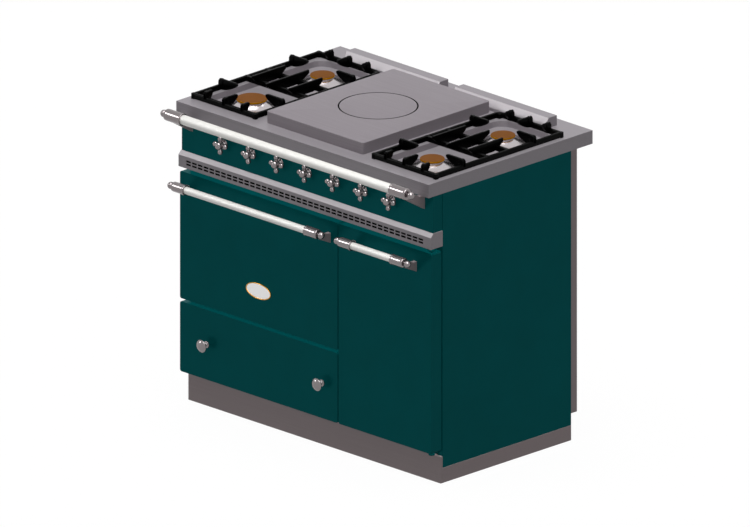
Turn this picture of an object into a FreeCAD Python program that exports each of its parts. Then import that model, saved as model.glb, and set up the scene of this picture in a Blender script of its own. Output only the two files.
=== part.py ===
"""A free-standing gas cooker, a metre wide, built as separate pieces in millimetres.

The frame: +Z up, +X to the right as seen from the front, -Y towards the cook.
The origin is on the floor, in the middle of the outline seen from above.
Distances along the front are measured from the worktop's left end, and distances
to the back from the worktop's front edge, as a kitchen fitter would.
"""
import FreeCAD, Part
import math
import os
import Sketcher

# Driving sizes
SIZES = {
    # Worktop and its two burner bowls
    "worktop_width": 1000.0,
    "worktop_depth": 650.0,
    "worktop_height": 900.0,
    "worktop_edge": 40.0,
    "worktop_sheet": 3.0,
    "worktop_return": 40.0,
    "bowl_margin": 39.0,
    "bowl_width": 208.0,
    "bowl_front": 55.0,
    "bowl_rear_gap": 24.0,
    "bowl_depth": 18.0,
    "bowl_corner": 40.0,
    "simmer_seat_side": 22.0,
    "simmer_seat_end": 68.0,
    "flue_slot_inset": 35.0,
    "flue_slot_width": 24.0,
    # Burners
    "burner_inset": 102.0,
    "cap_radius": 35.0,
    "large_cap_radius": 44.0,
    "cap_thickness": 6.0,
    "cap_edge": 1.5,
    "cap_proud": 6.0,
    "spigot_length": 4.0,
    "spigot_play": 0.6,
    "crown_inset": 3.0,
    "crown_wall": 12.0,
    "crown_height": 4.0,
    "neck_inset": 6.0,
    "flange_reach": 4.0,
    "flange_thickness": 2.0,
    "cup_radius": 22.0,
    "cup_depth": 18.0,
    "burner_hole_radius": 24.0,
    "jet_tube_radius": 9.0,
    "jet_bore": 2.5,
    "jet_tube_length": 14.0,
    "skirt_radius": 65.0,
    "skirt_rim": 2.0,
    "skirt_rise": 13.5,
    "skirt_play": 0.4,
    # Simmer plate with its lift-out disc
    "simmer_side_gap": 37.5,
    "simmer_front": 48.5,
    "simmer_rear_gap": 11.0,
    "simmer_height": 35.0,
    "simmer_corner": 8.0,
    "simmer_wall": 9.0,
    "simmer_top": 16.0,
    "disc_border": 82.0,
    "disc_play": 1.0,
    "disc_thickness": 10.0,
    "disc_ledge": 10.0,
    "simmer_burner_radius": 70.0,
    "simmer_burner_height": 22.0,
    "simmer_bar_width": 24.0,
    "simmer_bar_thickness": 4.0,
    "simmer_bar_overlap": 8.0,
    # Grates
    "grate_margin": 14.5,
    "grate_width": 256.0,
    "grate_lap": 12.0,
    "grate_rail_width": 12.0,
    "grate_rail_top": 17.0,
    "grate_rail_gap": 2.0,
    "grate_corner": 14.0,
    "grate_inner_corner": 6.0,
    "grate_foot": 20.0,
    "grate_top": 33.0,
    "finger_width": 8.0,
    "finger_offset": 73.0,
    "finger_reach": 59.0,
    "centre_finger_reach": 56.0,
    "side_finger_reach": 30.0,
    "finger_tip": 9.0,
    "finger_root": 22.0,
    "finger_horn": 4.0,
    "middle_bar_reach": 84.5,
    "side_bar_reach": 64.5,
    "cross_rail_offset": 40.0,
    # Flue hoods behind the hob
    "hood_margin": 100.0,
    "hood_middle_gap": 60.0,
    "hood_depth": 45.0,
    "hood_rear_margin": 42.0,
    "hood_lip": 9.0,
    "hood_slope": 12.0,
    "hood_height": 30.0,
    "hood_sheet": 2.0,
    "hood_outlet_low": 8.0,
    "hood_outlet_high": 20.0,
    # Cabinet
    "cabinet_front": 56.0,
    "side_thickness": 20.0,
    "side_sheet": 2.0,
    "side_bottom": 45.0,
    "rear_depth": 43.0,
    "rear_bottom": 70.0,
    "rear_hole_spacing": 400.0,
    "rear_hole_radius": 3.25,
    "rear_hole_drop": 160.0,
    "louvre_length": 240.0,
    "louvre_width": 7.0,
    "louvre_pitch": 22.0,
    "louvre_height": 200.0,
    "base_rail_thickness": 14.0,
    "plinth_front": 48.0,
    "plinth_height": 80.0,
    "plinth_sheet": 3.0,
    "frame_sheet": 3.0,
    "shelf_drop": 7.0,
    "frame_rear_gap": 35.0,
    # Control panel and vent strip
    "panel_front": 20.0,
    "panel_margin": 2.0,
    "panel_height": 110.0,
    "panel_sheet": 2.0,
    "strip_front": 9.0,
    "strip_height": 46.0,
    "strip_bend_drop": 11.0,
    "strip_slope": 10.0,
    "slot_length": 18.0,
    "slot_width": 4.0,
    "slot_pitch": 23.0,
    "slot_row_pitch": 9.0,
    "slot_row_drop": 28.5,
    "slot_margin": 25.0,
    # Doors and drawer front
    "door_front": 13.0,
    "door_back": 52.0,
    "door_sheet": 2.0,
    "door_corner": 6.0,
    "door_side_gap": 2.0,
    "door_strip_gap": 14.0,
    "door_split_right": 372.0,
    "door_split_gap": 4.0,
    "drawer_top": 303.0,
    "drawer_gap": 9.0,
    "door_bottom": 95.0,
    # Oven
    "oven_side_border": 54.0,
    "oven_bottom": 350.0,
    "oven_top_border": 35.0,
    "oven_rear_gap": 30.0,
    "liner_sheet": 2.0,
    "insulation": 25.0,
    "plug_inset": 10.0,
    "plug_depth": 10.0,
    "gasket_width": 10.0,
    "gasket_margin": 5.0,
    "gasket_gap": 0.4,
    "sole_height": 30.0,
    "sole_sheet": 2.0,
    "sole_inset": 20.0,
    "oven_burner_radius": 12.0,
    "oven_pipe_radius": 4.0,
    "pipe_hole_radius": 6.0,
    "ladder_sheet": 3.0,
    "ladder_ledge": 12.0,
    "ladder_inset": 60.0,
    "rack_rod_radius": 3.0,
    "rack_wire_radius": 1.6,
    "rack_wire_pitch": 28.0,
    # Oven door hinges
    "oven_pivot_back": 26.0,
    "oven_pivot_height": 323.0,
    "hinge_pin_radius": 3.0,
    "hinge_play": 0.05,
    "ear_inset": 42.0,
    "ear_thickness": 4.0,
    "ear_radius": 8.0,
    "ear_half_height": 6.0,
    "hinge_slot": 8.0,
    "hinge_notch": 12.0,
    "hinge_arm_width": 20.0,
    "hinge_arm_height": 36.0,
    "hinge_slot_top": 334.0,
    # Cupboard
    "cupboard_left_border": 37.0,
    "cupboard_right_border": 50.0,
    "cupboard_bottom": 120.0,
    "cupboard_top_border": 25.0,
    "cupboard_shelf_height": 380.0,
    "cupboard_pivot_inset": 12.0,
    "cupboard_pin_radius": 4.0,
    "cupboard_pin_depth": 14.0,
    "cupboard_bracket_gap": 3.0,
    "cupboard_bracket_thickness": 4.0,
    "cupboard_bracket_radius": 9.0,
    "cupboard_block": 18.0,
    # Drawer
    "bay_side_border": 30.0,
    "bay_bottom": 105.0,
    "bay_height": 187.0,
    "drawer_box_inset": 14.0,
    "drawer_box_bottom": 112.0,
    "drawer_box_top": 280.0,
    "drawer_box_rear_gap": 40.0,
    "drawer_sheet": 2.0,
    "rail_width": 12.0,
    "rail_height": 40.0,
    "rail_low": 150.0,
    "rail_wall": 4.0,
    "runner_play": 0.5,
    # Gas
    "manifold_back": 75.0,
    "manifold_drop": 50.0,
    "manifold_radius": 10.0,
    "manifold_left": 140.0,
    "inlet_right": 100.0,
    "inlet_radius": 10.48,
    "inlet_length": 22.0,
    "inlet_nut_radius": 15.0,
    "inlet_nut_length": 10.0,
    "knob_first": 173.0,
    "knob_last": 161.0,
    "tap_radius": 13.0,
    "tap_bore_depth": 36.0,
    "spindle_radius": 4.0,
    "spindle_play": 0.05,
    "spindle_hole_radius": 6.0,
    "spindle_tip": 0.5,
    "spindle_length": 50.0,
    "pipe_drop": 22.0,
    "pipe_drop_rear_gap": 17.0,
    "gland_left": 120.0,
    "gland_drop": 220.0,
    "gland_radius": 11.0,
    "gland_bore": 3.5,
    "gland_length": 16.0,
    # Control knobs
    "knob_gap": 4.0,
    "knob_skirt_radius": 15.0,
    "knob_skirt_edge": 2.0,
    "knob_neck_radius": 7.5,
    "knob_neck_height": 8.0,
    "knob_ball_radius": 10.5,
    "knob_ball_reach": 8.0,
    "knob_cross_height": 14.0,
    "lobe_radius": 7.5,
    "lobe_offset": 20.0,
    "lobe_arm_radius": 5.5,
    # Drawer knobs
    "pull_left": 108.0,
    "pull_right_border": 63.0,
    "pull_height": 200.0,
    "pull_foot_radius": 10.0,
    "pull_foot": 3.0,
    "pull_stem_radius": 5.5,
    "pull_stem": 16.0,
    "pull_radius": 18.5,
    "pull_edge": 24.0,
    "pull_crown": 31.0,
    # Handrail in front of the worktop
    "rail_reach": 59.0,
    "rail_axis_drop": 20.0,
    "rail_radius": 14.0,
    "rail_ferrule_radius": 16.5,
    "rail_ring_radius": 18.0,
    "rail_ball_radius": 11.0,
    "rail_end": 0.5,
    "rail_fitting_length": 86.0,
    "rail_bracket_left": 34.0,
    "rail_bracket_width": 13.0,
    "rail_foot_low_drop": 86.0,
    "rail_foot_high_drop": 43.0,
    "rail_knee": 22.0,
    # Door handles
    "handle_reach": 37.0,
    "handle_drop": 28.0,
    "handle_radius": 10.5,
    "handle_ferrule_radius": 13.0,
    "handle_ring_radius": 15.0,
    "handle_ball_radius": 10.0,
    "handle_fitting_length": 70.0,
    "handle_bracket_offset": 22.0,
    "handle_bracket_width": 12.0,
    "handle_foot_low_drop": 66.0,
    "handle_foot_high_drop": 35.0,
    "handle_knee": 14.0,
    "oven_handle_end": 6.0,
    "cupboard_handle_end": 37.0,
    "ring_width": 4.0,
    "tube_bore": 6.0,
    "socket_play": 0.1,
    "socket_depth": 30.0,
    # Badge plate, left plain
    "badge_height": 410.0,
    "badge_half_length": 49.0,
    "badge_half_height": 23.5,
    "badge_rim": 3.0,
    "badge_plate_thickness": 2.0,
    "badge_rim_thickness": 3.0,
    # How far a cutting solid runs past the faces it cuts
    "overrun": 5.0,
}

KNOB_COUNT = 7
LOUVRE_COUNT = 6

document = FreeCAD.newDocument("gas_cooker")
sheet = document.addObject("Spreadsheet::Sheet", "Sizes")


class Size:
    """A size that knows its number and the sheet expression that gives it."""

    def __init__(self, number, text):
        self.number = number
        self.text = text

    def joined(self, other, sign, number, swapped=False):
        first, second = (other, self.text) if swapped else (self.text, other)
        return Size(number, f"({first} {sign} {second})")

    def __add__(self, other):
        other = as_size(other)
        return self.joined(other.text, "+", self.number + other.number)

    def __radd__(self, other):
        return as_size(other) + self

    def __sub__(self, other):
        other = as_size(other)
        return self.joined(other.text, "-", self.number - other.number)

    def __rsub__(self, other):
        return as_size(other) - self

    def __mul__(self, other):
        other = as_size(other)
        return self.joined(other.text, "*", self.number * other.number)

    def __rmul__(self, other):
        return as_size(other) * self

    def __truediv__(self, other):
        other = as_size(other)
        return self.joined(other.text, "/", self.number / other.number)

    def __neg__(self):
        return as_size(0) - self


def as_size(value):
    """The value itself if it is a size, or a size that holds a plain number."""
    return value if isinstance(value, Size) else Size(float(value), repr(float(value)))


class SizeTable:
    """The driving sizes by name, each bound to its cell of the sheet."""


size = SizeTable()
for row, (name, number) in enumerate(SIZES.items(), start=1):
    sheet.set(f"A{row}", name)
    sheet.set(f"B{row}", str(number))
    sheet.setAlias(f"B{row}", name)
    setattr(size, name, Size(number, f"Sizes.{name}"))
document.recompute()

# Where each finished sub-part is kept, by the name of its node
NODES = {}


# Helpers that bind sizes to the document's objects
def bind(thing, path, value):
    """Tie one property to the sheet through the size's expression."""
    thing.setExpression(path, as_size(value).text)


def bind_place(thing, place, turn=None):
    """Put an object at a place given by sizes, with a fixed turn if it needs one."""
    rotation = turn if turn is not None else FreeCAD.Rotation()
    thing.Placement = FreeCAD.Placement(FreeCAD.Vector(), rotation)
    for axis, value in zip("xyz", place):
        bind(thing, "Placement.Base." + axis, value)


def keep(node, thing):
    """Name the finished sub-part after its node."""
    thing.Label = node
    NODES[node] = thing
    return thing


TURN_TO = {
    "+Z": FreeCAD.Rotation(),
    "-Z": FreeCAD.Rotation(FreeCAD.Vector(1, 0, 0), 180),
    "+X": FreeCAD.Rotation(FreeCAD.Vector(0, 1, 0), 90),
    "-X": FreeCAD.Rotation(FreeCAD.Vector(0, 1, 0), -90),
    "+Y": FreeCAD.Rotation(FreeCAD.Vector(1, 0, 0), -90),
    "-Y": FreeCAD.Rotation(FreeCAD.Vector(1, 0, 0), 90),
}


def box(name, across, deep, high):
    """A block between two limits along X, Y and Z."""
    block = document.addObject("Part::Box", name)
    for path, span in zip(("Length", "Width", "Height"), (across, deep, high)):
        bind(block, path, span[1] - span[0])
    bind_place(block, (across[0], deep[0], high[0]))
    return block


def rod(name, axis, centre, span, radius):
    """A round rod along X, Y or Z, centred on the two other coordinates."""
    cylinder = document.addObject("Part::Cylinder", name)
    bind(cylinder, "Radius", radius)
    bind(cylinder, "Height", span[1] - span[0])
    place = list(centre)
    place.insert("XYZ".index(axis), span[0])
    bind_place(cylinder, place, TURN_TO["+" + axis])
    return cylinder


def ball(name, place, radius):
    """A ball at a place."""
    sphere = document.addObject("Part::Sphere", name)
    bind(sphere, "Radius", radius)
    bind_place(sphere, place)
    return sphere


def fuse(name, *pieces):
    """Pieces joined into one solid."""
    joined = document.addObject("Part::MultiFuse", name)
    joined.Shapes = list(pieces)
    return joined


def group(name, *pieces):
    """Separate solids kept together in one node."""
    kept = document.addObject("Part::Compound", name)
    kept.Links = list(pieces)
    return kept


def cut(name, base, *tools):
    """A solid with one or more others taken out of it."""
    result = document.addObject("Part::Cut", name)
    result.Base = base
    result.Tool = tools[0] if len(tools) == 1 else group(name + "_tools", *tools)
    return result


def mirrored(name, source):
    """The same piece on the other side of the middle plane."""
    copy = document.addObject("Part::Mirroring", name)
    copy.Source = source
    copy.Normal = FreeCAD.Vector(1, 0, 0)
    return copy


def arc_edge(start, end, radius, side):
    """The arc between two points whose centre lies left (+1) or right (-1) of the way."""
    middle = (start + end) * 0.5
    chord = end - start
    height = math.sqrt(max(radius**2 - (chord.Length / 2) ** 2, 0))
    left = FreeCAD.Vector(-chord.y, chord.x, 0).normalize()
    centre = middle + left * (height * side)
    first, last = (start, end) if side > 0 else (end, start)
    angles = [math.atan2(point.y - centre.y, point.x - centre.x) for point in (first, last)]
    if angles[1] < angles[0]:
        angles[1] += 2 * math.pi
    circle = Part.Circle(centre, FreeCAD.Vector(0, 0, 1), radius)
    return Part.ArcOfCircle(circle, angles[0], angles[1])


def draw(sketch, corners):
    """Draw a closed outline and tie every corner and radius to the sheet.

    A corner is (across, up), and the edge from it to the next corner is straight.
    A corner (across, up, radius, side) starts an arc of that radius instead.
    """
    points = [FreeCAD.Vector(as_size(c[0]).number, as_size(c[1]).number, 0) for c in corners]
    ends = []
    for index, corner in enumerate(corners):
        start = points[index]
        end = points[(index + 1) % len(points)]
        if len(corner) == 2:
            edge = Part.LineSegment(start, end)
            ends.append((1, 2))
        else:
            edge = arc_edge(start, end, corner[2].number, corner[3])
            ends.append((1, 2) if corner[3] > 0 else (2, 1))
        sketch.addGeometry(edge, False)
    for index, corner in enumerate(corners):
        after = (index + 1) % len(corners)
        meeting = Sketcher.Constraint("Coincident", index, ends[index][1], after, ends[after][0])
        sketch.addConstraint(meeting)
        for kind, value in zip(("DistanceX", "DistanceY"), corner[:2]):
            value = as_size(value)
            dimension = Sketcher.Constraint(kind, -1, 1, index, ends[index][0], value.number)
            place = sketch.addConstraint(dimension)
            bind(sketch, f"Constraints[{place}]", value)
        if len(corner) > 2:
            bend = Sketcher.Constraint("Radius", index, corner[2].number)
            place = sketch.addConstraint(bend)
            bind(sketch, f"Constraints[{place}]", corner[2])


def sketch_in(body, plane, name, offset=0, lift=0):
    """A sketch on one of the body's own planes, moved along and up that plane."""
    sketch = body.newObject("Sketcher::SketchObject", name)
    matches = [item for item in body.Origin.OriginFeatures if item.Role == plane]
    sketch.AttachmentSupport = [(matches[0], "")]
    sketch.MapMode = "FlatFace"
    bind(sketch, "AttachmentOffset.Base.y", lift)
    bind(sketch, "AttachmentOffset.Base.z", offset)
    return sketch


def prism(name, axis, corners, span):
    """An outline carried straight along X (drawn in Y, Z), Y (in X, Z) or Z (in X, Y)."""
    plane = {"X": "YZ_Plane", "Y": "XZ_Plane", "Z": "XY_Plane"}[axis]
    start = -span[1] if axis == "Y" else span[0]
    body = document.addObject("PartDesign::Body", name)
    sketch = sketch_in(body, plane, name + "_outline", offset=start)
    draw(sketch, corners)
    pad = body.newObject("PartDesign::Pad", name + "_pad")
    pad.Profile = sketch
    bind(pad, "Length", span[1] - span[0])
    return body


def spin(body, name, plane, corners, axis, lift=0):
    """Add a turned shape to a body: an outline revolved about a sketch axis."""
    sketch = sketch_in(body, plane, name + "_outline", lift=lift)
    draw(sketch, corners)
    turned = body.newObject("PartDesign::Revolution", name + "_turned")
    turned.Profile = sketch
    turned.ReferenceAxis = (sketch, [axis])
    turned.Angle = 360
    return turned


def lathe(name, corners, place, direction="+Z"):
    """A turned piece: corners are (radius, height) along the direction it points in."""
    body = document.addObject("PartDesign::Body", name)
    spin(body, name, "XZ_Plane", corners, "V_Axis")
    bind_place(body, place, TURN_TO[direction])
    return body


def rounded_rectangle(across, up, radius):
    """A rectangle with four equal rounded corners, counter-clockwise."""
    x0, x1 = across
    y0, y1 = up
    return [
        (x0 + radius, y0),
        (x1 - radius, y0, radius, 1),
        (x1, y0 + radius),
        (x1, y1 - radius, radius, 1),
        (x1 - radius, y1),
        (x0 + radius, y1, radius, 1),
        (x0, y1 - radius),
        (x0, y0 + radius, radius, 1),
    ]


def grown(span, amount):
    """A span made longer by an amount at both ends."""
    return (span[0] - amount, span[1] + amount)


# Places measured as a fitter does, in the model's frame
FRONT_REACH = size.rail_reach + size.rail_ring_radius


def along(distance):
    """X of a distance from the worktop's left end."""
    return distance - size.worktop_width / 2


def back(distance):
    """Y of a distance behind the worktop's front edge."""
    return distance + (FRONT_REACH - size.worktop_depth) / 2


WORKTOP_TOP = size.worktop_height
WORKTOP_UNDER = size.worktop_height - size.worktop_edge
WHOLE_WIDTH = (along(0), along(size.worktop_width))
BOWL_FLOOR = WORKTOP_TOP - size.bowl_depth
# Across the hob: what the grates and hoods leave is the plate's, and the gap's between the hoods
GRATE_MIDDLE = size.grate_margin + size.grate_width / 2
SIMMER_WIDTH = size.worktop_width - (size.grate_margin + size.grate_width + size.simmer_side_gap) * 2
DISC_RADIUS = SIMMER_WIDTH / 2 - size.disc_border
HOOD_ACROSS = (along(size.hood_margin), -size.hood_middle_gap / 2)
# From front to back: hoods and cabinet end at the same distance, and the rest ends before them
HOOD_BACK = size.worktop_depth - size.hood_rear_margin
HOOD_FRONT = HOOD_BACK - size.hood_depth
CABINET_END = HOOD_BACK - size.rear_depth
FRAME_END = CABINET_END - size.frame_rear_gap
SIMMER_LENGTH = HOOD_FRONT - size.simmer_rear_gap - size.simmer_front
SIMMER_DEEP = (back(size.simmer_front), back(size.simmer_front + SIMMER_LENGTH))
BOWL_LENGTH = HOOD_FRONT - size.bowl_rear_gap - size.bowl_front
GRATE_FRONT = size.bowl_front - size.grate_lap
GRATE_LENGTH = BOWL_LENGTH + size.grate_lap * 2
BURNER_ROWS = (
    back(size.bowl_front + size.burner_inset),
    back(size.bowl_front + BOWL_LENGTH - size.burner_inset),
)
OVEN_DEPTH = FRAME_END - size.oven_rear_gap - size.cabinet_front - size.frame_sheet
# From the worktop down: panel, strip, doors, and the openings behind them
PANEL_BOTTOM = WORKTOP_UNDER - size.panel_height
STRIP_BOTTOM = PANEL_BOTTOM - size.strip_height
SHELF_HEIGHT = STRIP_BOTTOM - size.shelf_drop
DOOR_TOP = STRIP_BOTTOM - size.door_strip_gap
OVEN_HEIGHT = DOOR_TOP - size.oven_top_border - size.oven_bottom
CUPBOARD_HEIGHT = DOOR_TOP - size.cupboard_top_border - size.cupboard_bottom
MANIFOLD_HEIGHT = WORKTOP_UNDER - size.manifold_drop
GLAND_HEIGHT = WORKTOP_UNDER - size.gland_drop
# Along the front: the oven takes what the cupboard leaves
DOOR_SPLIT = size.worktop_width - size.door_split_right
OVEN_WIDTH = DOOR_SPLIT - size.oven_side_border * 2
BAY_WIDTH = DOOR_SPLIT - size.bay_side_border * 2
CUPBOARD_LEFT = DOOR_SPLIT + size.cupboard_left_border
CUPBOARD_WIDTH = size.worktop_width - size.cupboard_right_border - CUPBOARD_LEFT
INLET_LEFT = size.worktop_width - size.inlet_right
KNOB_PITCH = (size.worktop_width - size.knob_first - size.knob_last) / (KNOB_COUNT - 1)
SLOT_COUNT = int(((size.worktop_width - size.slot_margin * 2) / size.slot_pitch).number)
# Heights of the rack's ledges, as shares of the oven's height
LADDER_SHARES = (18 / 61, 32 / 61, 46 / 61)
CABINET_BACK = back(CABINET_END)
CABINET_FRONT = back(size.cabinet_front)
REAR_FACE = back(CABINET_END + size.rear_depth)
INSIDE = (along(size.side_thickness), along(size.worktop_width - size.side_thickness))


def burner_places():
    """The four burners as (name, X, Y, cap radius)."""
    left = along(GRATE_MIDDLE)
    front, rear = BURNER_ROWS
    return [
        ("front_left", left, front, size.large_cap_radius),
        ("rear_left", left, rear, size.cap_radius),
        ("front_right", -left, front, size.cap_radius),
        ("rear_right", -left, rear, size.cap_radius),
    ]


# Worktop
def bowl_outline(grow):
    """The left bowl's rounded outline, grown outwards by a wall."""
    left = along(size.bowl_margin)
    front = back(size.bowl_front)
    across = grown((left, left + size.bowl_width), grow)
    deep = grown((front, front + BOWL_LENGTH), grow)
    return rounded_rectangle(across, deep, size.bowl_corner + grow)


def make_worktop():
    """A folded sheet, its edge turned down and back under, with two pressed bowls."""
    wall = size.worktop_sheet
    deep = (back(0), back(size.worktop_depth))
    slab = box("worktop_slab", WHOLE_WIDTH, deep, (WORKTOP_UNDER, WORKTOP_TOP))
    inside = (WORKTOP_UNDER + wall, WORKTOP_TOP - wall)
    hollow = box("worktop_hollow", grown(WHOLE_WIDTH, -wall), grown(deep, -wall), inside)
    fold = size.worktop_return
    underside = grown((WORKTOP_UNDER, WORKTOP_UNDER + wall), size.overrun)
    mouth = box("worktop_mouth", grown(WHOLE_WIDTH, -fold), grown(deep, -fold), underside)
    shell = cut("worktop_shell", slab, hollow, mouth)
    pan = prism("bowl_pan", "Z", bowl_outline(wall), (BOWL_FLOOR - wall, WORKTOP_TOP))
    pan_other = mirrored("bowl_pan_other", pan)
    folded = fuse("worktop_folded", shell, pan, pan_other)
    bowl = prism("bowl_space", "Z", bowl_outline(as_size(0)), (BOWL_FLOOR, WORKTOP_TOP + size.overrun))
    bowl_other = mirrored("bowl_space_other", bowl)
    through = grown((BOWL_FLOOR - wall, BOWL_FLOOR), size.overrun)
    holes = [
        rod("burner_hole_" + name, "Z", (x, y), through, size.burner_hole_radius)
        for name, x, y, cap in burner_places()
    ]
    sheet_span = grown((WORKTOP_TOP - wall, WORKTOP_TOP), size.overrun)
    opening = box(
        "simmer_opening",
        grown((-SIMMER_WIDTH / 2, SIMMER_WIDTH / 2), -size.simmer_seat_side),
        grown(SIMMER_DEEP, -size.simmer_seat_end),
        sheet_span,
    )
    slot_y = back((HOOD_FRONT + HOOD_BACK) / 2)
    slot = box(
        "flue_slot",
        grown(HOOD_ACROSS, -size.flue_slot_inset),
        (slot_y - size.flue_slot_width / 2, slot_y + size.flue_slot_width / 2),
        sheet_span,
    )
    slot_other = mirrored("flue_slot_other", slot)
    spaces = [bowl, bowl_other, opening, slot, slot_other]
    bare = cut("worktop_bowls", folded, *spaces)
    keep("worktop", cut("worktop", bare, *holes))


def make_flue_hoods():
    """Two low hoods of folded sheet with a sloping front and an outlet at the back."""
    base = WORKTOP_TOP
    wall = size.hood_sheet
    front = back(HOOD_FRONT)
    rear = back(HOOD_BACK)
    top = base + size.hood_height
    across = HOOD_ACROSS
    outer = [
        (front, base),
        (rear, base),
        (rear, top),
        (front + size.hood_slope, top),
        (front, base + size.hood_lip),
    ]
    inner = [
        (front + wall, base - size.overrun),
        (rear - wall, base - size.overrun),
        (rear - wall, top - wall),
        (front + size.hood_slope + wall / 2, top - wall),
        (front + wall, base + size.hood_lip - wall / 2),
    ]
    skin = prism("hood_skin", "X", outer, across)
    hollow = prism("hood_hollow", "X", inner, grown(across, -wall))
    outlet = box(
        "hood_outlet",
        grown(across, -size.hood_height),
        grown((rear - wall, rear), wall / 2),
        (base + size.hood_outlet_low, base + size.hood_outlet_high),
    )
    left = cut("flue_hood_left", skin, hollow, outlet)
    keep("flue_hoods", group("flue_hoods", left, mirrored("flue_hood_right", left)))


# Cabinet
def make_side_panels():
    """Two enamelled trays, open towards the inside."""
    wall = size.side_sheet
    across = (along(0), along(size.side_thickness))
    deep = (CABINET_FRONT, CABINET_BACK)
    high = (size.side_bottom, WORKTOP_UNDER)
    block = box("side_block", across, deep, high)
    inside = (across[0] + wall, across[1] + size.overrun)
    hollow = box("side_hollow", inside, grown(deep, -wall), grown(high, -wall))
    left = keep("side_panel_left", cut("side_panel_left", block, hollow))
    keep("side_panel_right", mirrored("side_panel_right", left))


def cable_gland():
    """A plain cable gland for the rear panel."""
    place = (along(size.gland_left), REAR_FACE, GLAND_HEIGHT)
    corners = [
        (size.gland_bore, 0),
        (size.gland_radius, 0),
        (size.gland_radius, size.gland_length / 2),
        (size.gland_radius - size.gland_bore / 2, size.gland_length / 2),
        (size.gland_bore + size.gland_bore / 2, size.gland_length),
        (size.gland_bore, size.gland_length),
    ]
    return lathe("cable_gland", corners, place, "+Y")


def make_rear_panel():
    """A shallow tray at the back with louvres, screw holes and a cable gland."""
    wall = size.side_sheet
    deep = (CABINET_BACK, REAR_FACE)
    high = (size.rear_bottom, WORKTOP_UNDER)
    block = box("rear_block", INSIDE, deep, high)
    inside = (deep[0] - size.overrun, deep[1] - wall)
    hollow = box("rear_hollow", grown(INSIDE, -wall), inside, grown(high, -wall))
    through = grown((REAR_FACE - wall, REAR_FACE), wall)
    holes = []
    for side in (-1, 1):
        centre = (size.rear_hole_spacing / 2 * side, WORKTOP_UNDER - size.rear_hole_drop)
        holes.append(rod("tip_hole", "Y", centre, through, size.rear_hole_radius))
    inlet = (along(INLET_LEFT), MANIFOLD_HEIGHT)
    holes.append(rod("inlet_hole", "Y", inlet, through, size.manifold_radius + size.hood_sheet))
    gland = (along(size.gland_left), GLAND_HEIGHT)
    holes.append(rod("gland_hole", "Y", gland, through, size.gland_radius / 2))
    for index in range(LOUVRE_COUNT):
        low = size.louvre_height + size.louvre_pitch * index
        span = (-size.louvre_length / 2, size.louvre_length / 2)
        holes.append(box("louvre", span, through, (low, low + size.louvre_width)))
    tray = cut("rear_tray", block, hollow, *holes)
    keep("rear_panel", group("rear_panel", tray, cable_gland()))


def make_base():
    """Base rails under the sides, each with a front post, and the plinth between them."""
    thick = size.base_rail_thickness
    across = (along(0), along(thick))
    rail = box("base_rail_bar", across, (CABINET_FRONT, CABINET_BACK), (as_size(0), size.side_bottom))
    post_deep = (back(size.plinth_front), CABINET_FRONT)
    post = box("base_post", across, post_deep, (as_size(0), size.plinth_height))
    left = fuse("base_rail_left", rail, post)
    keep("base_rails", group("base_rails", left, mirrored("base_rail_right", left)))
    between = (along(thick), along(size.worktop_width - thick))
    front = back(size.plinth_front)
    deep = (front, front + size.plinth_sheet)
    face = box("plinth_face", between, deep, (as_size(0), size.plinth_height))
    fold_deep = (front, CABINET_FRONT + size.frame_sheet)
    fold_high = (size.plinth_height - size.plinth_sheet, size.plinth_height)
    fold = box("plinth_fold", INSIDE, fold_deep, fold_high)
    keep("front_plinth", fuse("front_plinth", face, fold))


def opening_box(name, place):
    """A cutting block for one opening of the face frame: left, width, bottom, height."""
    left, width, bottom, height = place
    across = (along(left), along(left + width))
    deep = grown((CABINET_FRONT, CABINET_FRONT + size.frame_sheet), size.overrun)
    return box(name, across, deep, (bottom, bottom + height))


def make_chassis_frame():
    """The welded carcass: face frame, floor pan, partition, shelf and two rear legs."""
    wall = size.frame_sheet
    front = CABINET_FRONT
    deep = (front, back(FRAME_END))
    face = box("face_plate", INSIDE, (front, front + wall), (size.plinth_height, PANEL_BOTTOM))
    oven = (size.oven_side_border, OVEN_WIDTH, size.oven_bottom, OVEN_HEIGHT)
    cupboard = (CUPBOARD_LEFT, CUPBOARD_WIDTH, size.cupboard_bottom, CUPBOARD_HEIGHT)
    bay = (size.bay_side_border, BAY_WIDTH, size.bay_bottom, size.bay_height)
    places = (("oven_gap", oven), ("cupboard_gap", cupboard), ("bay_gap", bay))
    openings = [opening_box(name, place) for name, place in places]
    frame = cut("face_frame", face, *openings)
    low = size.plinth_height
    pan = box("floor_pan", INSIDE, (front, CABINET_BACK), (low, low + wall))
    middle = along(DOOR_SPLIT)
    partition = box("partition", (middle, middle + wall), deep, (low, SHELF_HEIGHT + wall))
    shelf = box("shelf", INSIDE, deep, (SHELF_HEIGHT, SHELF_HEIGHT + wall))
    legs = [
        box(
            "rear_leg_" + side,
            (INSIDE[end] - wall * end, INSIDE[end] + wall * (1 - end)),
            (CABINET_BACK - size.rear_depth, CABINET_BACK),
            (as_size(0), low + size.rear_depth),
        )
        for end, side in enumerate(("left", "right"))
    ]
    keep("chassis_frame", fuse("chassis_frame", frame, pan, partition, shelf, *legs))


# Oven
OVEN_ACROSS = (along(size.oven_side_border), along(size.oven_side_border + OVEN_WIDTH))
OVEN_HIGH = (size.oven_bottom, size.oven_bottom + OVEN_HEIGHT)
OVEN_DEEP = (CABINET_FRONT + size.frame_sheet, CABINET_FRONT + size.frame_sheet + OVEN_DEPTH)
OVEN_MIDDLE = along(size.oven_side_border + OVEN_WIDTH / 2)
OVEN_BURNER_HEIGHT = size.oven_bottom + size.oven_burner_radius


def liner(name, across, deep, high):
    """A thin box open at the front, around the space that it lines."""
    wall = size.liner_sheet
    outer = box(name + "_outer", grown(across, wall), (deep[0], deep[1] + wall), grown(high, wall))
    inner = box(name + "_space", across, (deep[0] - size.overrun, deep[1]), high)
    return outer, inner


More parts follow.
